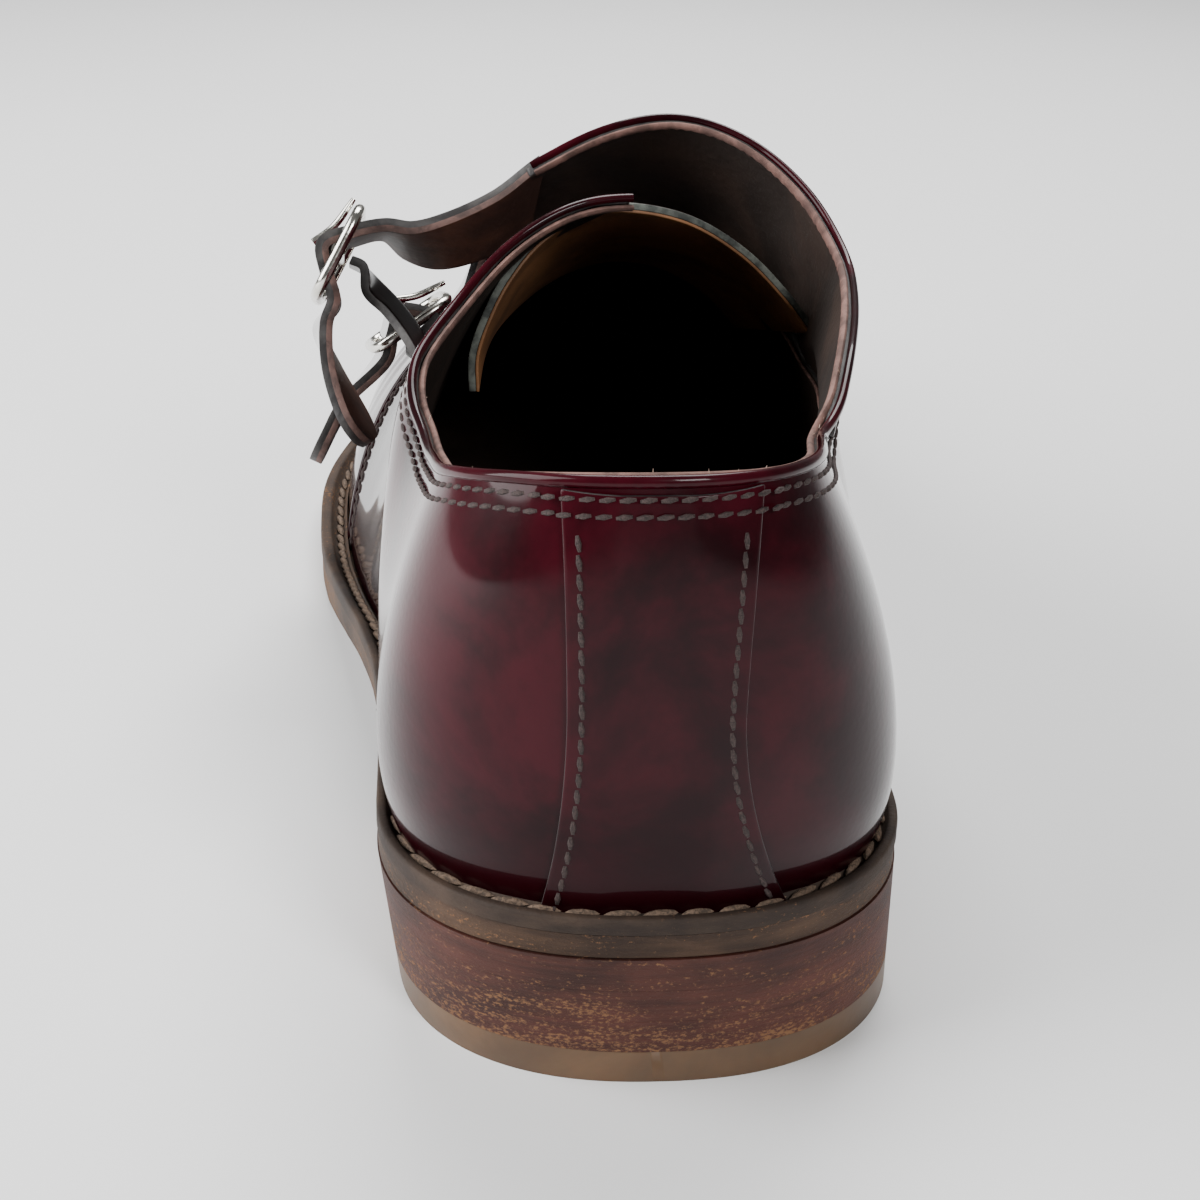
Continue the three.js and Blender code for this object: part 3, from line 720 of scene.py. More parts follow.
def slab(
    name, slot, finishes, low, high, under, over, end=LENGTH, rounding=0.4, rows=8, replaces=(), lean=0.0
):
    """A flat layer of the sole or heel: an outline raised to its thickness, with its edges rounded."""
    bm = bmesh.new()
    u_layer = bm.verts.layers.float.new("station")
    v_layer = bm.verts.layers.float.new("across")
    made = bmesh.ops.create_grid(bm, x_segments=130, y_segments=rows, size=1)["verts"]
    for vert in made:
        vert[u_layer], vert[v_layer] = vert.co.x / 2 + 0.5, vert.co.y / 2 + 0.5

    def lay(verts, inset, height):
        u = np.array([v[u_layer] for v in verts])
        v = np.array([v[v_layer] for v in verts])
        start, stop = inset(0.0), (end if end < LENGTH else LENGTH - inset(LENGTH))
        full = stop if end == LENGTH else 2 * end - start
        turn = np.pi if end == LENGTH else np.arccos(1 - 2 * (end - start) / (full - start))
        along = start + (full - start) * (1 - np.cos(turn * u)) / 2
        outer, inner = edges(along, inset(along))
        side = inner + (outer - inner) * v - lean * (1 - height(along) / SEAT)
        for vert, co in zip(verts, in_row(np.stack([side, along, height(along)], -1))):
            vert.co = co

    raised = bmesh.ops.extrude_face_region(bm, geom=list(bm.faces))
    top = [v for v in raised["geom"] if isinstance(v, bmesh.types.BMVert)]
    lay([v for v in bm.verts if v not in set(top)], low, under)
    lay(top, high, over)
    bmesh.ops.remove_doubles(bm, verts=bm.verts, dist=0.05 * MM)
    bmesh.ops.dissolve_degenerate(bm, edges=bm.edges, dist=0.01 * MM)
    bmesh.ops.recalc_face_normals(bm, faces=bm.faces)
    rim = [e for e in bm.edges if len(e.link_faces) == 2 and e.calc_face_angle(0) > math.radians(50)]
    bmesh.ops.bevel(
        bm, geom=rim, offset=rounding * MM, offset_type="OFFSET", affect="EDGES", segments=3, profile=0.5,
        material=-1, clamp_overlap=True,
    )
    make_piece(bm, name, slot, finishes, replaces, sharp=50)


# ---------------------------------------------------------------- shader parts
def connect(tree, socket, value):
    if isinstance(value, bpy.types.NodeSocket):
        tree.links.new(value, socket)
    elif isinstance(value, (tuple, list)) and len(value) == 3 and socket.type == "RGBA":
        socket.default_value = (*value, 1.0)
    else:
        socket.default_value = value


def add_node(tree, kind, inputs=None, **settings):
    made = tree.nodes.new(kind)
    for name, value in settings.items():
        setattr(made, name, value)
    for name, value in (inputs or {}).items():
        connect(tree, made.inputs[name], value)
    return made


def noise(tree, vector, scale, detail=4.0, roughness=0.55, distortion=0.0):
    return add_node(
        tree,
        "ShaderNodeTexNoise",
        {
            "Vector": vector,
            "Scale": scale,
            "Detail": detail,
            "Roughness": roughness,
            "Distortion": distortion,
        },
    ).outputs["Fac"]


def spread_of(tree, value, low, high, to_low=0.0, to_high=1.0):
    """A value moved from one range to another, and kept inside it."""
    return add_node(
        tree,
        "ShaderNodeMapRange",
        {"Value": value, "From Min": low, "From Max": high, "To Min": to_low, "To Max": to_high},
        interpolation_type="SMOOTHSTEP",
    ).outputs["Result"]


def mixed(tree, factor, first, second, blend="MIX"):
    made = tree.nodes.new("ShaderNodeMix")
    made.data_type = "RGBA"
    made.blend_type = blend
    connect(tree, made.inputs[0], factor)
    connect(tree, made.inputs[6], first)
    connect(tree, made.inputs[7], second)
    return made.outputs[2]


def sum_of(tree, first, second, operation="ADD"):
    made = add_node(tree, "ShaderNodeMath", operation=operation)
    connect(tree, made.inputs[0], first)
    connect(tree, made.inputs[1], second)
    return made.outputs[0]


def weighed(tree, first, second):
    """Two values added by their weights."""
    return sum_of(tree, sum_of(tree, *first, "MULTIPLY"), sum_of(tree, *second, "MULTIPLY"))


def stretched(tree, vector, scale):
    return add_node(tree, "ShaderNodeMapping", {"Vector": vector, "Scale": scale}).outputs["Vector"]


def shader_part(name, inputs, outputs, build):
    """A shared node group with named inputs and outputs, made once."""
    if name in bpy.data.node_groups:
        return bpy.data.node_groups[name]
    tree = bpy.data.node_groups.new(name, "ShaderNodeTree")
    for label, kind, default in inputs:
        socket = tree.interface.new_socket(label, in_out="INPUT", socket_type="NodeSocket" + kind)
        if default is not None:
            socket.default_value = (*default, 1.0) if kind == "Color" else default
    for label, kind in outputs:
        tree.interface.new_socket(label, in_out="OUTPUT", socket_type="NodeSocket" + kind)
    start, end = tree.nodes.new("NodeGroupInput"), tree.nodes.new("NodeGroupOutput")
    for label, value in build(tree, start.outputs).items():
        tree.links.new(value, end.inputs[label])
    return tree


def use_part(tree, part, inputs):
    made = tree.nodes.new("ShaderNodeGroup")
    made.node_tree = part
    for name, value in inputs.items():
        connect(tree, made.inputs[name], value)
    return made.outputs


def leather_grain():
    """Fine pebbling, pores and shallow wrinkles of leather."""

    def build(tree, given):
        pebbles = add_node(
            tree, "ShaderNodeTexVoronoi", {"Vector": given["Vector"], "Scale": given["Scale"]}
        ).outputs["Distance"]
        pores = noise(tree, given["Vector"], given["Scale"], 6.0, 0.6)
        wrinkles = noise(tree, stretched(tree, given["Vector"], (60, 60, 150)), 1.0, 5.0, 0.6, 0.8)
        fine = weighed(tree, (pebbles, 0.35), (pores, 0.4))
        return {"Height": sum_of(tree, fine, sum_of(tree, wrinkles, given["Wrinkles"], "MULTIPLY"))}

    return shader_part(
        "Leather grain",
        [("Vector", "Vector", None), ("Scale", "Float", 900.0), ("Wrinkles", "Float", 0.6)],
        [("Height", "Float")],
        build,
    )


def mottling():
    """Two depths of dye that drift into each other."""

    def build(tree, given):
        patches = noise(tree, given["Vector"], given["Scale"], 5.0, 0.6, 0.4)
        mask = spread_of(tree, patches, 0.38, 0.64)
        return {"Color": mixed(tree, mask, given["Deep"], given["Light"]), "Mask": mask}

    return shader_part(
        "Mottled dye",
        [
            ("Vector", "Vector", None),
            ("Scale", "Float", 40.0),
            ("Deep", "Color", (0.1, 0.1, 0.1)),
            ("Light", "Color", (0.2, 0.2, 0.2)),
        ],
        [("Color", "Color"), ("Mask", "Float")],
        build,
    )


def scuffing():
    """A mask of rubbed and dusty places."""

    def build(tree, given):
        rubs = noise(tree, given["Vector"], given["Scale"], 8.0, 0.7, 0.6)
        return {"Mask": spread_of(tree, sum_of(tree, rubs, given["Amount"]), 0.62, 0.78)}

    return shader_part(
        "Scuffs",
        [("Vector", "Vector", None), ("Scale", "Float", 120.0), ("Amount", "Float", 0.0)],
        [("Mask", "Float")],
        build,
    )


def cut_layers():
    """Streaks and clouds of leather cut across its layers, and the places where it is worn."""

    def build(tree, given):
        place = given["Vector"]
        along_layers = add_node(
            tree, "ShaderNodeCombineXYZ", {"X": 34.0, "Y": 34.0, "Z": given["Layers"]}
        ).outputs["Vector"]
        streaks = noise(tree, stretched(tree, place, along_layers), 1.0, 8.0, 0.7, 0.2)
        clouds = noise(tree, stretched(tree, place, (45, 45, 90)), 1.0, 5.0, 0.6, 0.4)
        tone = weighed(tree, (streaks, 0.35), (clouds, 0.65))
        flecks = noise(tree, stretched(tree, place, (1300, 1300, 2400)), 1.0, 4.0, 0.7)
        patch = noise(tree, stretched(tree, place, (60, 60, 330)), 1.0, 7.0, 0.72, 0.5)
        height = add_node(tree, "ShaderNodeSeparateXYZ", {"Vector": place}).outputs["Z"]
        low = spread_of(tree, height, 0.004, 0.02, 0.1, 0.0)
        worn = sum_of(tree, sum_of(tree, weighed(tree, (flecks, 0.9), (patch, 0.6)), low), given["Amount"])
        worn = spread_of(tree, worn, 0.84, 0.96)
        relief = sum_of(tree, sum_of(tree, streaks, flecks), sum_of(tree, worn, 0.6, "MULTIPLY"))
        return {"Tone": spread_of(tree, tone, 0.36, 0.66), "Worn": worn, "Height": relief}

    return shader_part(
        "Cut layers",
        [("Vector", "Vector", None), ("Layers", "Float", 900.0), ("Amount", "Float", 0.0)],
        [("Tone", "Float"), ("Worn", "Float"), ("Height", "Float")],
        build,
    )


def thread_twist():
    """The twisted fibres of a thread."""

    def build(tree, given):
        fibres = noise(tree, given["Vector"], given["Scale"], 3.0, 0.6, 1.2)
        return {"Mask": spread_of(tree, fibres, 0.35, 0.65), "Height": fibres}

    return shader_part(
        "Thread twist",
        [("Vector", "Vector", None), ("Scale", "Float", 2600.0)],
        [("Mask", "Float"), ("Height", "Float")],
        build,
    )


def new_finish(name):
    finish = bpy.data.materials.new(name)
    finish.use_nodes = True
    tree = finish.node_tree
    shader = tree.nodes["Principled BSDF"]
    place = tree.nodes.new("ShaderNodeTexCoord").outputs["Object"]
    return finish, tree, shader, place


def bumped(tree, shader, height, strength, distance):
    made = add_node(
        tree, "ShaderNodeBump", {"Height": height, "Strength": strength, "Distance": distance * MM}
    )
    tree.links.new(made.outputs["Normal"], shader.inputs["Normal"])


def set_shader(shader, **values):
    for name, value in values.items():
        shader.inputs[name.replace("_", " ")].default_value = value


def polished_leather(name, deep, light, coat=1.0, gloss=0.045):
    """Dyed and polished leather, with painted shade that darkens it near the welt."""
    finish, tree, shader, place = new_finish(name)
    dye = use_part(tree, mottling(), {"Vector": place, "Scale": 34.0, "Deep": deep, "Light": light})
    rubs = use_part(tree, scuffing(), {"Vector": place, "Scale": 160.0, "Amount": -0.06})["Mask"]
    height = add_node(tree, "ShaderNodeSeparateXYZ", {"Vector": place}).outputs["Z"]
    # Painted shade: from 5 cm above the floor downwards the leather is drawn towards its deep dye colour,
    # fully so below 2.4 cm, near the welt.
    painted_welt_shade = spread_of(tree, height, 0.024, 0.05, 1.0, 0.0)
    dye_and_painted_shade = mixed(tree, sum_of(tree, painted_welt_shade, 0.95, "MULTIPLY"), dye["Color"], deep)
    colour = mixed(tree, sum_of(tree, rubs, 0.12, "MULTIPLY"), dye_and_painted_shade, light)
    tree.links.new(colour, shader.inputs["Base Color"])
    tree.links.new(spread_of(tree, rubs, 0, 1, 0.3, 0.45), shader.inputs["Roughness"])
    set_shader(shader, Coat_Weight=coat, Coat_Roughness=gloss, Coat_IOR=1.21, Specular_IOR_Level=0.05)
    grain = use_part(tree, leather_grain(), {"Vector": place, "Scale": 900.0, "Wrinkles": 0.6})["Height"]
    bumped(tree, shader, grain, 0.16, 0.18)
    return finish


def soft_leather(name, deep, light, scale=60.0, rough=0.75, depth=0.3):
    """Undyed or lining leather with open pores."""
    finish, tree, shader, place = new_finish(name)
    dye = use_part(tree, mottling(), {"Vector": place, "Scale": scale, "Deep": deep, "Light": light})["Color"]
    marks = use_part(tree, scuffing(), {"Vector": place, "Scale": scale * 3, "Amount": 0.0})["Mask"]
    colour = mixed(tree, sum_of(tree, marks, 0.6, "MULTIPLY"), dye, (0.05, 0.03, 0.02))
    tree.links.new(colour, shader.inputs["Base Color"])
    set_shader(shader, Roughness=rough)
    grain = use_part(tree, leather_grain(), {"Vector": place, "Scale": 700.0, "Wrinkles": 0.3})["Height"]
    bumped(tree, shader, grain, 0.5, depth)
    return finish


def layered_leather(name, deep, light, scuff, amount=0.0, rough=0.6, layers=900.0):
    """Leather cut across its layers, as on the edges of the heel and sole, scuffed along them."""
    finish, tree, shader, place = new_finish(name)
    cut = use_part(tree, cut_layers(), {"Vector": place, "Layers": layers, "Amount": amount})
    dye = mixed(tree, cut["Tone"], deep, light)
    tree.links.new(mixed(tree, cut["Worn"], dye, scuff), shader.inputs["Base Color"])
    roughness = spread_of(tree, cut["Worn"], 0, 1, rough, min(rough + 0.3, 0.95))
    tree.links.new(roughness, shader.inputs["Roughness"])
    set_shader(shader, Specular_IOR_Level=0.3)
    bumped(tree, shader, cut["Height"], 0.5, 0.3)
    return finish


def gum_rubber(name, deep, light):
    """Smooth gum rubber with dusty rubs."""
    finish, tree, shader, place = new_finish(name)
    dye = use_part(tree, mottling(), {"Vector": place, "Scale": 30.0, "Deep": deep, "Light": light})["Color"]
    marks = use_part(tree, scuffing(), {"Vector": place, "Scale": 220.0, "Amount": -0.02})["Mask"]
    colour = mixed(tree, sum_of(tree, marks, 0.5, "MULTIPLY"), dye, (0.12, 0.06, 0.03))
    tree.links.new(colour, shader.inputs["Base Color"])
    set_shader(shader, Roughness=0.42, Subsurface_Weight=0.25, Subsurface_Scale=0.004)
    bumped(tree, shader, noise(tree, place, 500.0, 6.0, 0.6), 0.3, 0.15)
    return finish


def thread(name, colour, deep, twist=2600.0):
    """Waxed thread with a visible twist."""
    finish, tree, shader, place = new_finish(name)
    fibres = use_part(tree, thread_twist(), {"Vector": place, "Scale": twist})
    tree.links.new(mixed(tree, fibres["Mask"], deep, colour), shader.inputs["Base Color"])
    set_shader(shader, Roughness=0.8)
    bumped(tree, shader, fibres["Height"], 0.6, 0.25)
    return finish


def plated_metal(name, colour):
    """Plating with fine marks and duller patches."""
    finish, tree, shader, place = new_finish(name)
    marks = noise(tree, place, 700.0, 6.0, 0.7, 0.4)
    dull = noise(tree, place, 160.0, 4.0, 0.6)
    tone = mixed(tree, spread_of(tree, dull, 0.4, 0.7, 0, 0.35), colour, (0.3, 0.27, 0.22))
    tree.links.new(tone, shader.inputs["Base Color"])
    tree.links.new(spread_of(tree, marks, 0.3, 0.7, 0.1, 0.26), shader.inputs["Roughness"])
    set_shader(shader, Metallic=1.0)
    bumped(tree, shader, marks, 0.12, 0.05)
    return finish


# ---------------------------------------------------------------- what a user may change
def length_property(name, description, default, low, high):
    return bpy.props.FloatProperty(
        name=name, description=description, default=default * MM, min=low * MM, max=high * MM,
        unit="LENGTH", subtype="DISTANCE", precision=5,
    )


def colour_property(name, description, default):
    return bpy.props.FloatVectorProperty(
        name=name, description=description, default=default, size=3, min=0.0, max=1.0, subtype="COLOR"
    )


class ShoeSizes(bpy.types.PropertyGroup):
    """Sizes of the shoe's trims."""

    stitch: length_property("Stitch pitch", "Distance from one topline stitch to the next", 2.5, 1.5, 5)
    welt_stitch: length_property(
        "Welt stitch pitch", "Distance from one welt stitch to the next", 5.2, 3, 12
    )
    bead: length_property("Bead height", "Height of the folded bead along the topline", 1.8, 1, 6)
    first_row: length_property(
        "First stitch row", "Distance of the first stitch row below the topline", 2.3, 1, 8
    )
    second_row: length_property(
        "Second stitch row", "Distance of the second stitch row below the topline", 4.5, 3, 12
    )
    upper_leather: length_property("Upper leather", "Thickness of the upper's leather", 1.3, 0.8, 1.8)


class ShoeColours(bpy.types.PropertyGroup):
    """Colours of the shoe's finishes."""

    burgundy: colour_property("Burgundy", "Lighter depth of the upper's dye", (0.038, 0.0016, 0.0055))
    # Oxblood is also the colour of the painted shade that darkens the upper near the welt.
    oxblood: colour_property("Oxblood", "Deeper depth of the upper's dye", (0.010, 0.0005, 0.0016))
    lining: colour_property("Lining", "Lining leather", (0.028, 0.015, 0.010))
    tongue_lining: colour_property("Tongue lining", "Tan lining of the tongue", (0.27, 0.118, 0.045))
    raw_edge: colour_property("Raw edge", "Cut edge of the lining and straps", (0.2, 0.105, 0.085))
    stitching: colour_property("Stitching", "Thread of the upper", (0.05, 0.03, 0.027))
    welt_thread: colour_property("Welt thread", "Heavy thread round the welt", (0.16, 0.105, 0.07))
    heel: colour_property("Heel", "Stacked heel leather", (0.06, 0.017, 0.011))
    edge_tan: colour_property("Tan wear", "Tan leather that shows through the wear", (0.2, 0.1, 0.048))
    gum: colour_property("Gum rubber", "Top lift under the heel", (0.13, 0.066, 0.026))
    nickel: colour_property("Nickel", "Plating of the buckles", (0.78, 0.76, 0.7))


def sizes():
    return bpy.context.scene.shoe_sizes


def colours():
    return bpy.context.scene.shoe_colours


def shade(tone, share=1.0):
    """A colour made darker or lighter."""
    return tuple(share * part for part in tone)


def shared(name, kind, *values):
    """A finish that several pieces wear, made once."""
    return bpy.data.materials.get(name) or kind(name, *values)


def stitch_thread():
    return shared("Topline thread", thread, shade(colours().stitching), (0.014, 0.008, 0.007))


def burgundy_leather():
    return shared("Burgundy leather", polished_leather, shade(colours().oxblood), shade(colours().burgundy))


def raw_edge():
    tone = colours().raw_edge
    return shared("Raw cut edge", soft_leather, shade(tone, 0.45), shade(tone), 260.0, 0.85, 0.5)


def dark_edge():
    return shared("Inked edge", soft_leather, (0.01, 0.008, 0.008), (0.04, 0.036, 0.034), 200.0, 0.55, 0.4)


def lining_leather():
    tone = colours().lining
    return shared("Lining leather", soft_leather, shade(tone, 0.45), shade(tone), 45.0, 0.62, 0.3)


class Builder(bpy.types.Operator):
    """Builds one group of the shoe's pieces"""

    bl_options = {"REGISTER", "UNDO"}


class SHOE_OT_heel(Builder):
    """Makes the gum rubber top lift and the stacked leather lifts"""

    bl_idname = "shoe.heel"
    bl_label = "Heel"

    def execute(self, context):
        c = colours()
        rubber = gum_rubber("Gum rubber", shade(c.gum, 0.55), shade(c.gum))
        stack = layered_leather("Stacked leather", shade(c.heel, 0.4), shade(c.heel, 1.3), shade(c.edge_tan))

        def taper(up):
            return lambda along: HEEL_TAPER * (1 - up / SEAT) + 0 * along

        def level(up):
            return lambda along: up + 0 * along

        slab(
            "Top_lift", "gum_rubber", [rubber], taper(0), taper(TOPLIFT), level(0), level(TOPLIFT),
            BREAST, 1.1, replaces=("toplift",), lean=HEEL_LEAN,
        )
        lift = (SEAT - GAP - TOPLIFT) / 3
        for i in range(3):
            top = SEAT - GAP - i * lift
            bottom = top - lift + 0.03
            slab(
                f"Heel_lift_{i + 1}", "heel_leather", [stack], taper(bottom), taper(top), level(bottom),
                level(top), BREAST, 0.14, replaces=(f"heel_lift_{i + 1}",), lean=HEEL_LEAN,
            )
        return {"FINISHED"}


class SHOE_OT_sole(Builder):
    """Makes the outsole, the welt with its groove and the heavy welt stitches"""

    bl_idname = "shoe.sole"
    bl_label = "Sole and welt"

    def execute(self, context):
        c = colours()
        tan = shade(c.edge_tan)
        edge = layered_leather(
            "Sole edge", (0.022, 0.011, 0.006), (0.075, 0.04, 0.022), tan, 0.0, 0.65, 500.0
        )
        top = layered_leather(
            "Welt leather", (0.018, 0.011, 0.008), (0.06, 0.037, 0.024), tan, -0.06, 0.7, 200.0
        )

        def inset(along):
            return 0.2 + 0 * along

        slab(
            "Outsole_edge", "sole_leather", [edge], inset, inset, sole_under, lambda a: sole_top(a) + 0.18,
            rounding=0.7, replaces=("outsole",),
        )
        profile = np.array(
            [
                (0.0, 0.03), (0.0, 0.8), (0.05, 0.95), (0.13, 1.0), (0.34, 1.0), (0.44, 0.9), (0.52, 0.55),
                (0.72, 0.45), (0.86, 0.5), (0.93, 0.75), (1.0, 0.8), (1.0, 0.03),
            ]
        )

        def place(u, v):
            i = np.rint(v * len(profile)).astype(int) % len(profile)
            return welt_point(u, profile[i, 0], profile[i, 1], WELT_CLEAR)

        bm = laid_grid(460, len(profile), place)
        make_piece(bm, "Welt_ring", "welt_leather", [top], ("welt",), sharp=60)

        line = welt_point(np.linspace(0, 1, 1600), 0.7, 0.55)
        normals = np.tile((0.0, 0.0, 1.0), (len(line), 1))
        points, normals = by_length(line, normals, sizes().welt_stitch / MM)
        cord = thread("Welt thread", shade(c.welt_thread), shade(c.welt_thread, 0.35), 1500.0)
        bm = sewn(points, normals, *WELT_STITCH, 0.2, WELT_SLANT, facets=8)
        make_piece(bm, "Welt_stitches", "welt_leather", [cord], weld=0.001)
        return {"FINISHED"}


class SHOE_OT_upper(Builder):
    """Makes the hollow upper, its lining and the sock"""

    bl_idname = "shoe.upper"
    bl_label = "Upper, lining and sock"

    def execute(self, context):
        leather, lining = burgundy_leather(), lining_leather()

        def outside(u, v):
            along, arch = upper_place(u, 1 - (1 - v) ** 1.25)
            return last_point(along, arch, creases(along, arch) * np.clip((along - 6) / 8, 0, 1))

        make_sheet(
            outside, (420, 84), "Upper_leather", "upper_leather", [leather, lining, dark_edge()], UPPER_HEART,
            sizes().upper_leather / MM, -1.0, replaces=("upper",),
        )

        def within(u, v):
            along, arch = upper_place(u, v, 1.5)
            return last_point(along, arch, 1.5)

        make_sheet(
            within, (260, 40), "Quarter_lining", "lining_leather", [lining, lining, raw_edge()], UPPER_HEART,
            0.6, -1.0,
        )

        def inset(along):
            return column(SOLE, "ledge", along) + 3.3

        slab(
            "Sock_leather", "lining_leather", [lining], inset, inset, lambda a: sole_top(a) + GAP,
            lambda a: sole_top(a) + GAP + 2.6, rounding=0.3, rows=16, replaces=("insole",),
        )
        return {"FINISHED"}


class SHOE_OT_back_strip(Builder):
    """Makes the waisted strip up the back of the heel with a row of stitches inside each edge"""

    bl_idname = "shoe.back_strip"
    bl_label = "Back strip"

    def execute(self, context):
        def place(u, v):
            height = 0.004 + 0.955 * v
            side = STRIP_MIDDLE + (2 * u - 1) * strip_edge(height, u > 0.5)
            return back_point(side, height, 0.12)[0]

        leather = burgundy_leather()
        make_sheet(
            place, (48, 60), "Back_strip", "upper_leather", [leather, leather, dark_edge()], (0, 60, 50),
            0.85, 1.0, 0.22,
        )
        bm = None
        height = np.linspace(0.02, 0.86, 160)
        for sign in (-1, 1):
            side = STRIP_MIDDLE + sign * (strip_edge(height, sign > 0) - 1.9)
            bm = stitch_row(*stitch_places(*back_point(side, height, 0.95)), 0.03, bm)
        make_piece(bm, "Back_strip_stitches", "upper_leather", [stitch_thread()], weld=0.001)
        return {"FINISHED"}


class SHOE_OT_topline(Builder):
    """Makes the folded bead, the raw lining edge and the two stitch rows that follow the topline"""

    bl_idname = "shoe.topline"
    bl_label = "Topline"

    def execute(self, context):
        s = sizes()
        bead = s.bead / MM

        bm = swept(*topline(bead / 2 - 0.7), oval(0.75, bead / 2, -0.1))
        make_piece(bm, "Topline_bead", "upper_leather", [burgundy_leather()])

        def edge_section(angle, share):
            rough = 0.12 * np.sin(share * 900) + 0.1 * np.sin(share * 2113 + 1)
            return 0.55 * np.cos(angle) - 1.75, (1.0 + rough) * np.sin(angle) - 0.1 - rough

        make_piece(swept(*topline(0.2), edge_section), "Lining_edge", "lining_leather", [raw_edge()])

        chance = np.random.default_rng(7)
        line, normals = topline(-0.3)
        behind = np.flatnonzero(line[:, 1] < 60)
        picks = chance.choice(behind, 46)
        spots = line[picks] - 1.7 * normals[picks] + chance.normal(0, 0.3, (46, 3))
        bm = None
        for spot, normal in zip(spots, normals[picks]):
            way = unit(chance.normal(0, 1, 3) + np.array([0, 0, 0.9]) - 0.5 * normal)
            length = chance.uniform(0.8, 2.2)
            pair = np.stack([spot, spot + way * 0.01])
            bm = sewn(
                pair[:1], normals[picks[:1]], length, 0.16, 0.12, 0.0, bm=bm, facets=4, tangents=way[None]
            )
        fluff = soft_leather("Fibres", (0.3, 0.2, 0.15), (0.55, 0.42, 0.34))
        make_piece(bm, "Loose_fibres", "lining_leather", [fluff], weld=0.001)
        bm = None
        for distance in (s.first_row / MM, s.second_row / MM):
            points, normals = stitch_places(*topline(distance))
            on_strip = (points[:, 1] < 20) & (np.abs(points[:, 0] - STRIP_MIDDLE) < 14.6)
            points = points + normals * np.where(on_strip, 1.0, 0.05)[:, None]
            bm = stitch_row(points, normals, bm=bm)
        make_piece(bm, "Topline_stitches", "upper_leather", [stitch_thread()], weld=0.001)
        return {"FINISHED"}


class SHOE_OT_flap(Builder):
    """Makes the flap that the inner quarter lays over the instep"""

    bl_idname = "shoe.flap"
    bl_label = "Instep flap"

    def execute(self, context):
        make_sheet(
            flap_point, (120, 28), "Instep_flap", "upper_leather",
            [burgundy_leather(), lining_leather(), dark_edge()], (-5, 130, 40), 2.0, 0.0, 0.4,
        )
        t = np.linspace(0.05, 0.97, 300)
        bm = None
        width = np.linalg.norm(flap_point(t, 0 * t) - flap_point(t, 0 * t + 1), axis=-1)
        for back in (2.6, 5.2):
            w = 1 - back / width
            points, normals = stitch_places(flap_point(t, w), flap_normal(t, w))
            bm = sewn(points + normals, normals, 2.0, 0.66, 0.55, 0.05, bm=bm)
        make_piece(bm, "Flap_stitches", "upper_leather", [stitch_thread()], weld=0.001)
        return {"FINISHED"}


class SHOE_OT_seams(Builder):
    """Makes the folded front edges of both quarters where they lie on the vamp, each with two stitch rows"""

    bl_idname = "shoe.seams"
    bl_label = "Vamp seams"

    def execute(self, context):
        # Stations and arch places of each edge, from the top down.
        outer = ((172, 0.37), (176, 0.28), (177, 0.18), (174, 0.1), (170, 0.03), (169, 0.008))
        inner = ((155, 0.79), (151.5, 0.845), (148.5, 0.91), (147, 0.96), (146.5, 0.992))
        edge, rows = None, None
        for route in (outer, inner):
            line = smooth_line(route, np.linspace(0, 1, 90))
            for back in (0.0, 2.2, 4.4):
                along, arch = line[:, 0] - back, line[:, 1]
                points, normals = last_point(along, arch, creases(along, arch)), last_normal(along, arch)
                if back:
                    rows = stitch_row(*stitch_places(points, normals), bm=rows)
                else:
                    edge = swept(points + 0.05 * normals, normals, oval(0.6, 0.8), bm=edge)
        make_piece(edge, "Quarter_front_edges", "upper_leather", [burgundy_leather()], weld=0.004)
        make_piece(rows, "Quarter_front_stitches", "upper_leather", [stitch_thread()], weld=0.001)
        return {"FINISHED"}


class SHOE_OT_tongue(Builder):
    """Makes the tongue: dark leather outside and tan lining inside"""

    bl_idname = "shoe.tongue"
    bl_label = "Tongue"

    def execute(self, context):
        rear = columns_of(TONGUE, "side", "along", "up")
        front = last_point(TONGUE["toAlong"], TONGUE["toArch"], WALL + 2.8)

        place = between(rear, front)
        dark = polished_leather("Tongue leather", (0.012, 0.01, 0.01), (0.05, 0.02, 0.02), 0.4, 0.2)
        tone = colours().tongue_lining
        tan = soft_leather("Tongue lining leather", shade(tone, 0.5), shade(tone), 45.0, 0.6, 0.3)
        rim = soft_leather("Tongue edge", (0.03, 0.034, 0.03), (0.13, 0.14, 0.12), 240.0, 0.7, 0.5)
        for name, finishes, thickness, offset, round_by, replaces in (
            ("Tongue_leather", [dark, dark, rim], 1.3, 1.0, 0.25, ("tongue",)),
            ("Tongue_lining", [tan, tan, tan], 0.5, -1.0, 0.12, ()),
        ):
            make_sheet(
                place, (90, 30), name, "tongue_leather", finishes, (0, 110, 40), thickness, offset, round_by,
                replaces,
            )
        return {"FINISHED"}


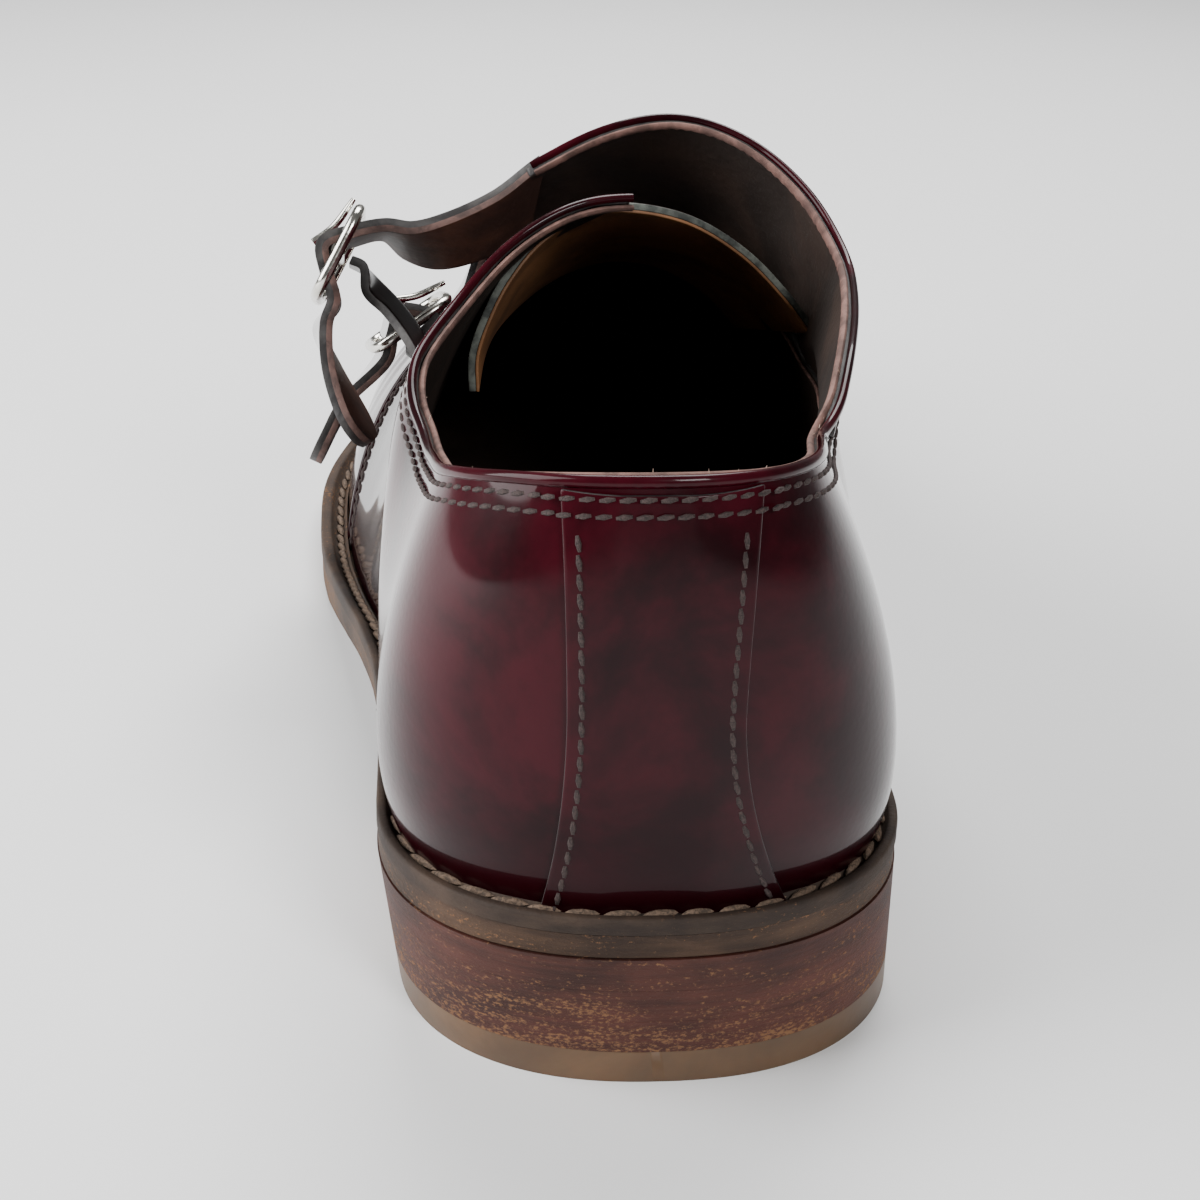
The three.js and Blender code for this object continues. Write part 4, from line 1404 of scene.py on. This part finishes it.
class SHOE_OT_straps(Builder):
    """Makes both straps with their raw lower layer, and the chapes that hold the buckles"""

    bl_idname = "shoe.straps"
    bl_label = "Straps and chapes"

    def execute(self, context):
        def rounded_tip(u):
            tip = np.clip((u - 0.93) / 0.07, 0, 1)
            return np.sqrt(np.clip(1 - tip**2.2, 0, 1)) * 0.96 + 0.04

        brown = soft_leather("Strap underside", (0.03, 0.012, 0.008), (0.09, 0.035, 0.02), 50.0, 0.6, 0.3)
        dark = polished_leather("Chape leather", (0.008, 0.005, 0.005), (0.03, 0.012, 0.012), 0.3, 0.3)
        tone = shade(colours().raw_edge, 0.55)
        cut = soft_leather("Strap cut edge", shade(tone, 0.4), tone, 240.0, 0.8, 0.5)
        burgundy, inked = burgundy_leather(), dark_edge()
        for name, spec in FASTENINGS.items():
            strap = ruled(*strap_lines(spec), STRAP_WIDTH, rounded_tip)
            chape = ruled(*chape_lines(spec), CHAPE_WIDTH)
            for place, grid, layer, slot, finishes, thickness, offset, round_by, replaces in (
                (strap, (150, 16), "strap_leather", "upper_leather", [burgundy, brown, inked],
                 1.3, 1.0, 0.35, (f"{name}_strap",)),
                (strap, (150, 16), "strap_lining", "lining_leather", [brown, brown, cut],
                 1.2, -1.0, 0.15, ()),
                (chape, (60, 8), "chape_leather", "upper_leather", [dark, dark, inked],
                 1.7, 0.0, 0.3, (f"{name}_chape",)),
            ):
                make_sheet(
                    place, grid, f"{name.capitalize()}_{layer}", slot, finishes, STRAP_HEART, thickness,
                    offset, round_by, replaces,
                )
        return {"FINISHED"}


class SHOE_OT_buckles(Builder):
    """Makes both nickel buckles: a rounded frame with its middle bar, and a prong"""

    bl_idname = "shoe.buckles"
    bl_label = "Buckles"

    def execute(self, context):
        metal = plated_metal("Nickel plate", shade(colours().nickel))
        for name, spec in FASTENINGS.items():
            label = name.capitalize()
            _, out, at = buckle_seat(spec)
            half_w, half_r = BUCKLE["across"] / 2 - 1.15, BUCKLE["run"] / 2 - 1.15
            angle = np.linspace(0, 2 * np.pi, 96, endpoint=False)
            power = 2 / BUCKLE["squareness"]
            w = np.sign(np.cos(angle)) * np.abs(np.cos(angle)) ** power * half_w
            r = np.sign(np.sin(angle)) * np.abs(np.sin(angle)) ** power * half_r
            crown = 0.35 * (w / half_w) ** 2
            ring = at(w, r, -crown)
            around_ring = np.vstack([ring, ring[:1]])
            ring, ring_normals = by_length(around_ring, np.tile(out, (len(around_ring), 1)), 0.75)
            rim, bar = BUCKLE["rim"], BUCKLE["bar"]
            bm = swept(ring[:-1], ring_normals[:-1], oval(rim, rim), closed=True)
            reach = BUCKLE["across"] / 2 - 1.2
            span = np.linspace(-reach, reach, 20)
            bar_bm = swept(at(span, 0, 0), np.tile(out, (len(span), 1)), oval(bar, bar))
            bar_mesh = bpy.data.meshes.new("bar")
            bar_bm.to_mesh(bar_mesh)
            bar_bm.free()
            bm.from_mesh(bar_mesh)
            bpy.data.meshes.remove(bar_mesh)
            make_piece(
                bm, f"{label}_buckle_frame", "buckle_metal", [metal], (f"{name}_buckle",), weld=0.004
            )
            bends = at(0, np.array([0, -4.4, -10.8]), np.array([5.3, 3.2, 2.2]))
            path = smooth_line(bends, np.linspace(0, 1, 24))

            def prong_section(angle, share):
                slim = 0.72 * (1 - 0.35 * np.clip((share - 0.6) / 0.4, 0, 1) ** 2)
                return slim * np.cos(angle), 1.25 * slim * np.sin(angle)

            bm = swept(path, np.tile(out, (len(path), 1)), prong_section)
            make_piece(bm, f"{label}_buckle_prong", "buckle_metal", [metal], (f"{name}_prong",), weld=0.004)
        return {"FINISHED"}


class SHOE_OT_stage(Builder):
    """Sets the floor, the soft lights and the camera"""

    bl_idname = "shoe.stage"
    bl_label = "Stage"

    def execute(self, context):
        finish, tree, shader, place = new_finish("Studio floor")
        tone = spread_of(tree, noise(tree, place, 3.0, 2.0), 0.2, 0.8, 0.0, 1.0)
        tree.links.new(mixed(tree, tone, (0.82, 0.82, 0.82), (0.84, 0.84, 0.84)), shader.inputs["Base Color"])
        set_shader(shader, Roughness=0.7)
        bm = bmesh.new()
        bmesh.ops.create_grid(bm, x_segments=2, y_segments=2, size=4)
        mesh = bpy.data.meshes.new("Floor")
        bm.to_mesh(mesh)
        bm.free()
        mesh.materials.append(finish)
        floor = bpy.data.objects.new("Floor", mesh)
        context.scene.collection.objects.link(floor)

        world = bpy.data.worlds.new("Studio")
        world.use_nodes = True
        set_shader(world.node_tree.nodes["Background"], Color=(1, 1, 1, 1), Strength=0.14)
        context.scene.world = world
        for name, place_at, aim, size, power in (
            ("Outer side softbox", (0.85, 0.15, 0.5), (0.12, 0.1, 0.0), 0.8, 20.0),
            ("Overhead softbox", (-0.1, -0.55, 0.95), (0, 0.0, 0.05), 0.7, 17.0),
            ("Inner side fill", (-0.45, 0.95, 0.75), (0, 0.05, 0.06), 0.35, 9.0),
        ):
            light = bpy.data.lights.new(name, "AREA")
            light.shape = "SQUARE"
            light.size = size
            light.energy = power
            lamp = bpy.data.objects.new(name, light)
            lamp.location = place_at
            lamp.rotation_euler = (Vector(aim) - Vector(place_at)).to_track_quat("-Z", "Y").to_euler()
            context.scene.collection.objects.link(lamp)

        camera = bpy.data.cameras.new("Camera")
        camera.lens = 59.36
        camera.sensor_width = 36.0
        camera.clip_start = 0.01
        camera.shift_x, camera.shift_y = -0.0041, -0.1269
        eye = bpy.data.objects.new("Camera", camera)
        # The eye stands behind the heel, a little to its outer side, 18 cm up, and looks down 22 degrees.
        heading, down, roll = 0.078, 0.376, 0.026
        look = Vector(
            (-math.sin(heading) * math.cos(down), -math.cos(heading) * math.cos(down), -math.sin(down))
        )
        level = look.to_track_quat("-Z", "Y").to_matrix()
        turned = level @ Matrix.Rotation(roll, 3, "Z")
        eye.matrix_world = Matrix.Translation((0.02323, 0.36979, 0.18281)) @ turned.to_4x4()
        context.scene.collection.objects.link(eye)
        context.scene.camera = eye
        return {"FINISHED"}


OPERATORS = (
    SHOE_OT_heel,
    SHOE_OT_sole,
    SHOE_OT_upper,
    SHOE_OT_back_strip,
    SHOE_OT_topline,
    SHOE_OT_flap,
    SHOE_OT_seams,
    SHOE_OT_tongue,
    SHOE_OT_straps,
    SHOE_OT_buckles,
    SHOE_OT_stage,
)


class SHOE_PT_panel(bpy.types.Panel):
    """Lists the shoe's sizes, colours and building steps"""

    bl_idname = "SHOE_PT_panel"
    bl_label = "Monk strap shoe"
    bl_space_type = "VIEW_3D"
    bl_region_type = "UI"
    bl_category = "Shoe"

    def draw(self, context):
        for group in (context.scene.shoe_sizes, context.scene.shoe_colours):
            for name in group.__annotations__:
                self.layout.prop(group, name)
        for operator in OPERATORS:
            self.layout.operator(operator.bl_idname)


CLASSES = (ShoeSizes, ShoeColours, *OPERATORS, SHOE_PT_panel)


def register():
    for cls in CLASSES:
        bpy.utils.register_class(cls)
    bpy.types.Scene.shoe_sizes = bpy.props.PointerProperty(type=ShoeSizes)
    bpy.types.Scene.shoe_colours = bpy.props.PointerProperty(type=ShoeColours)


def unregister():
    del bpy.types.Scene.shoe_colours
    del bpy.types.Scene.shoe_sizes
    for cls in reversed(CLASSES):
        bpy.utils.unregister_class(cls)


def main():
    register()
    for operator in OPERATORS:
        group, name = operator.bl_idname.split(".")
        getattr(getattr(bpy.ops, group), name)()


if __name__ == "__main__":
    main()
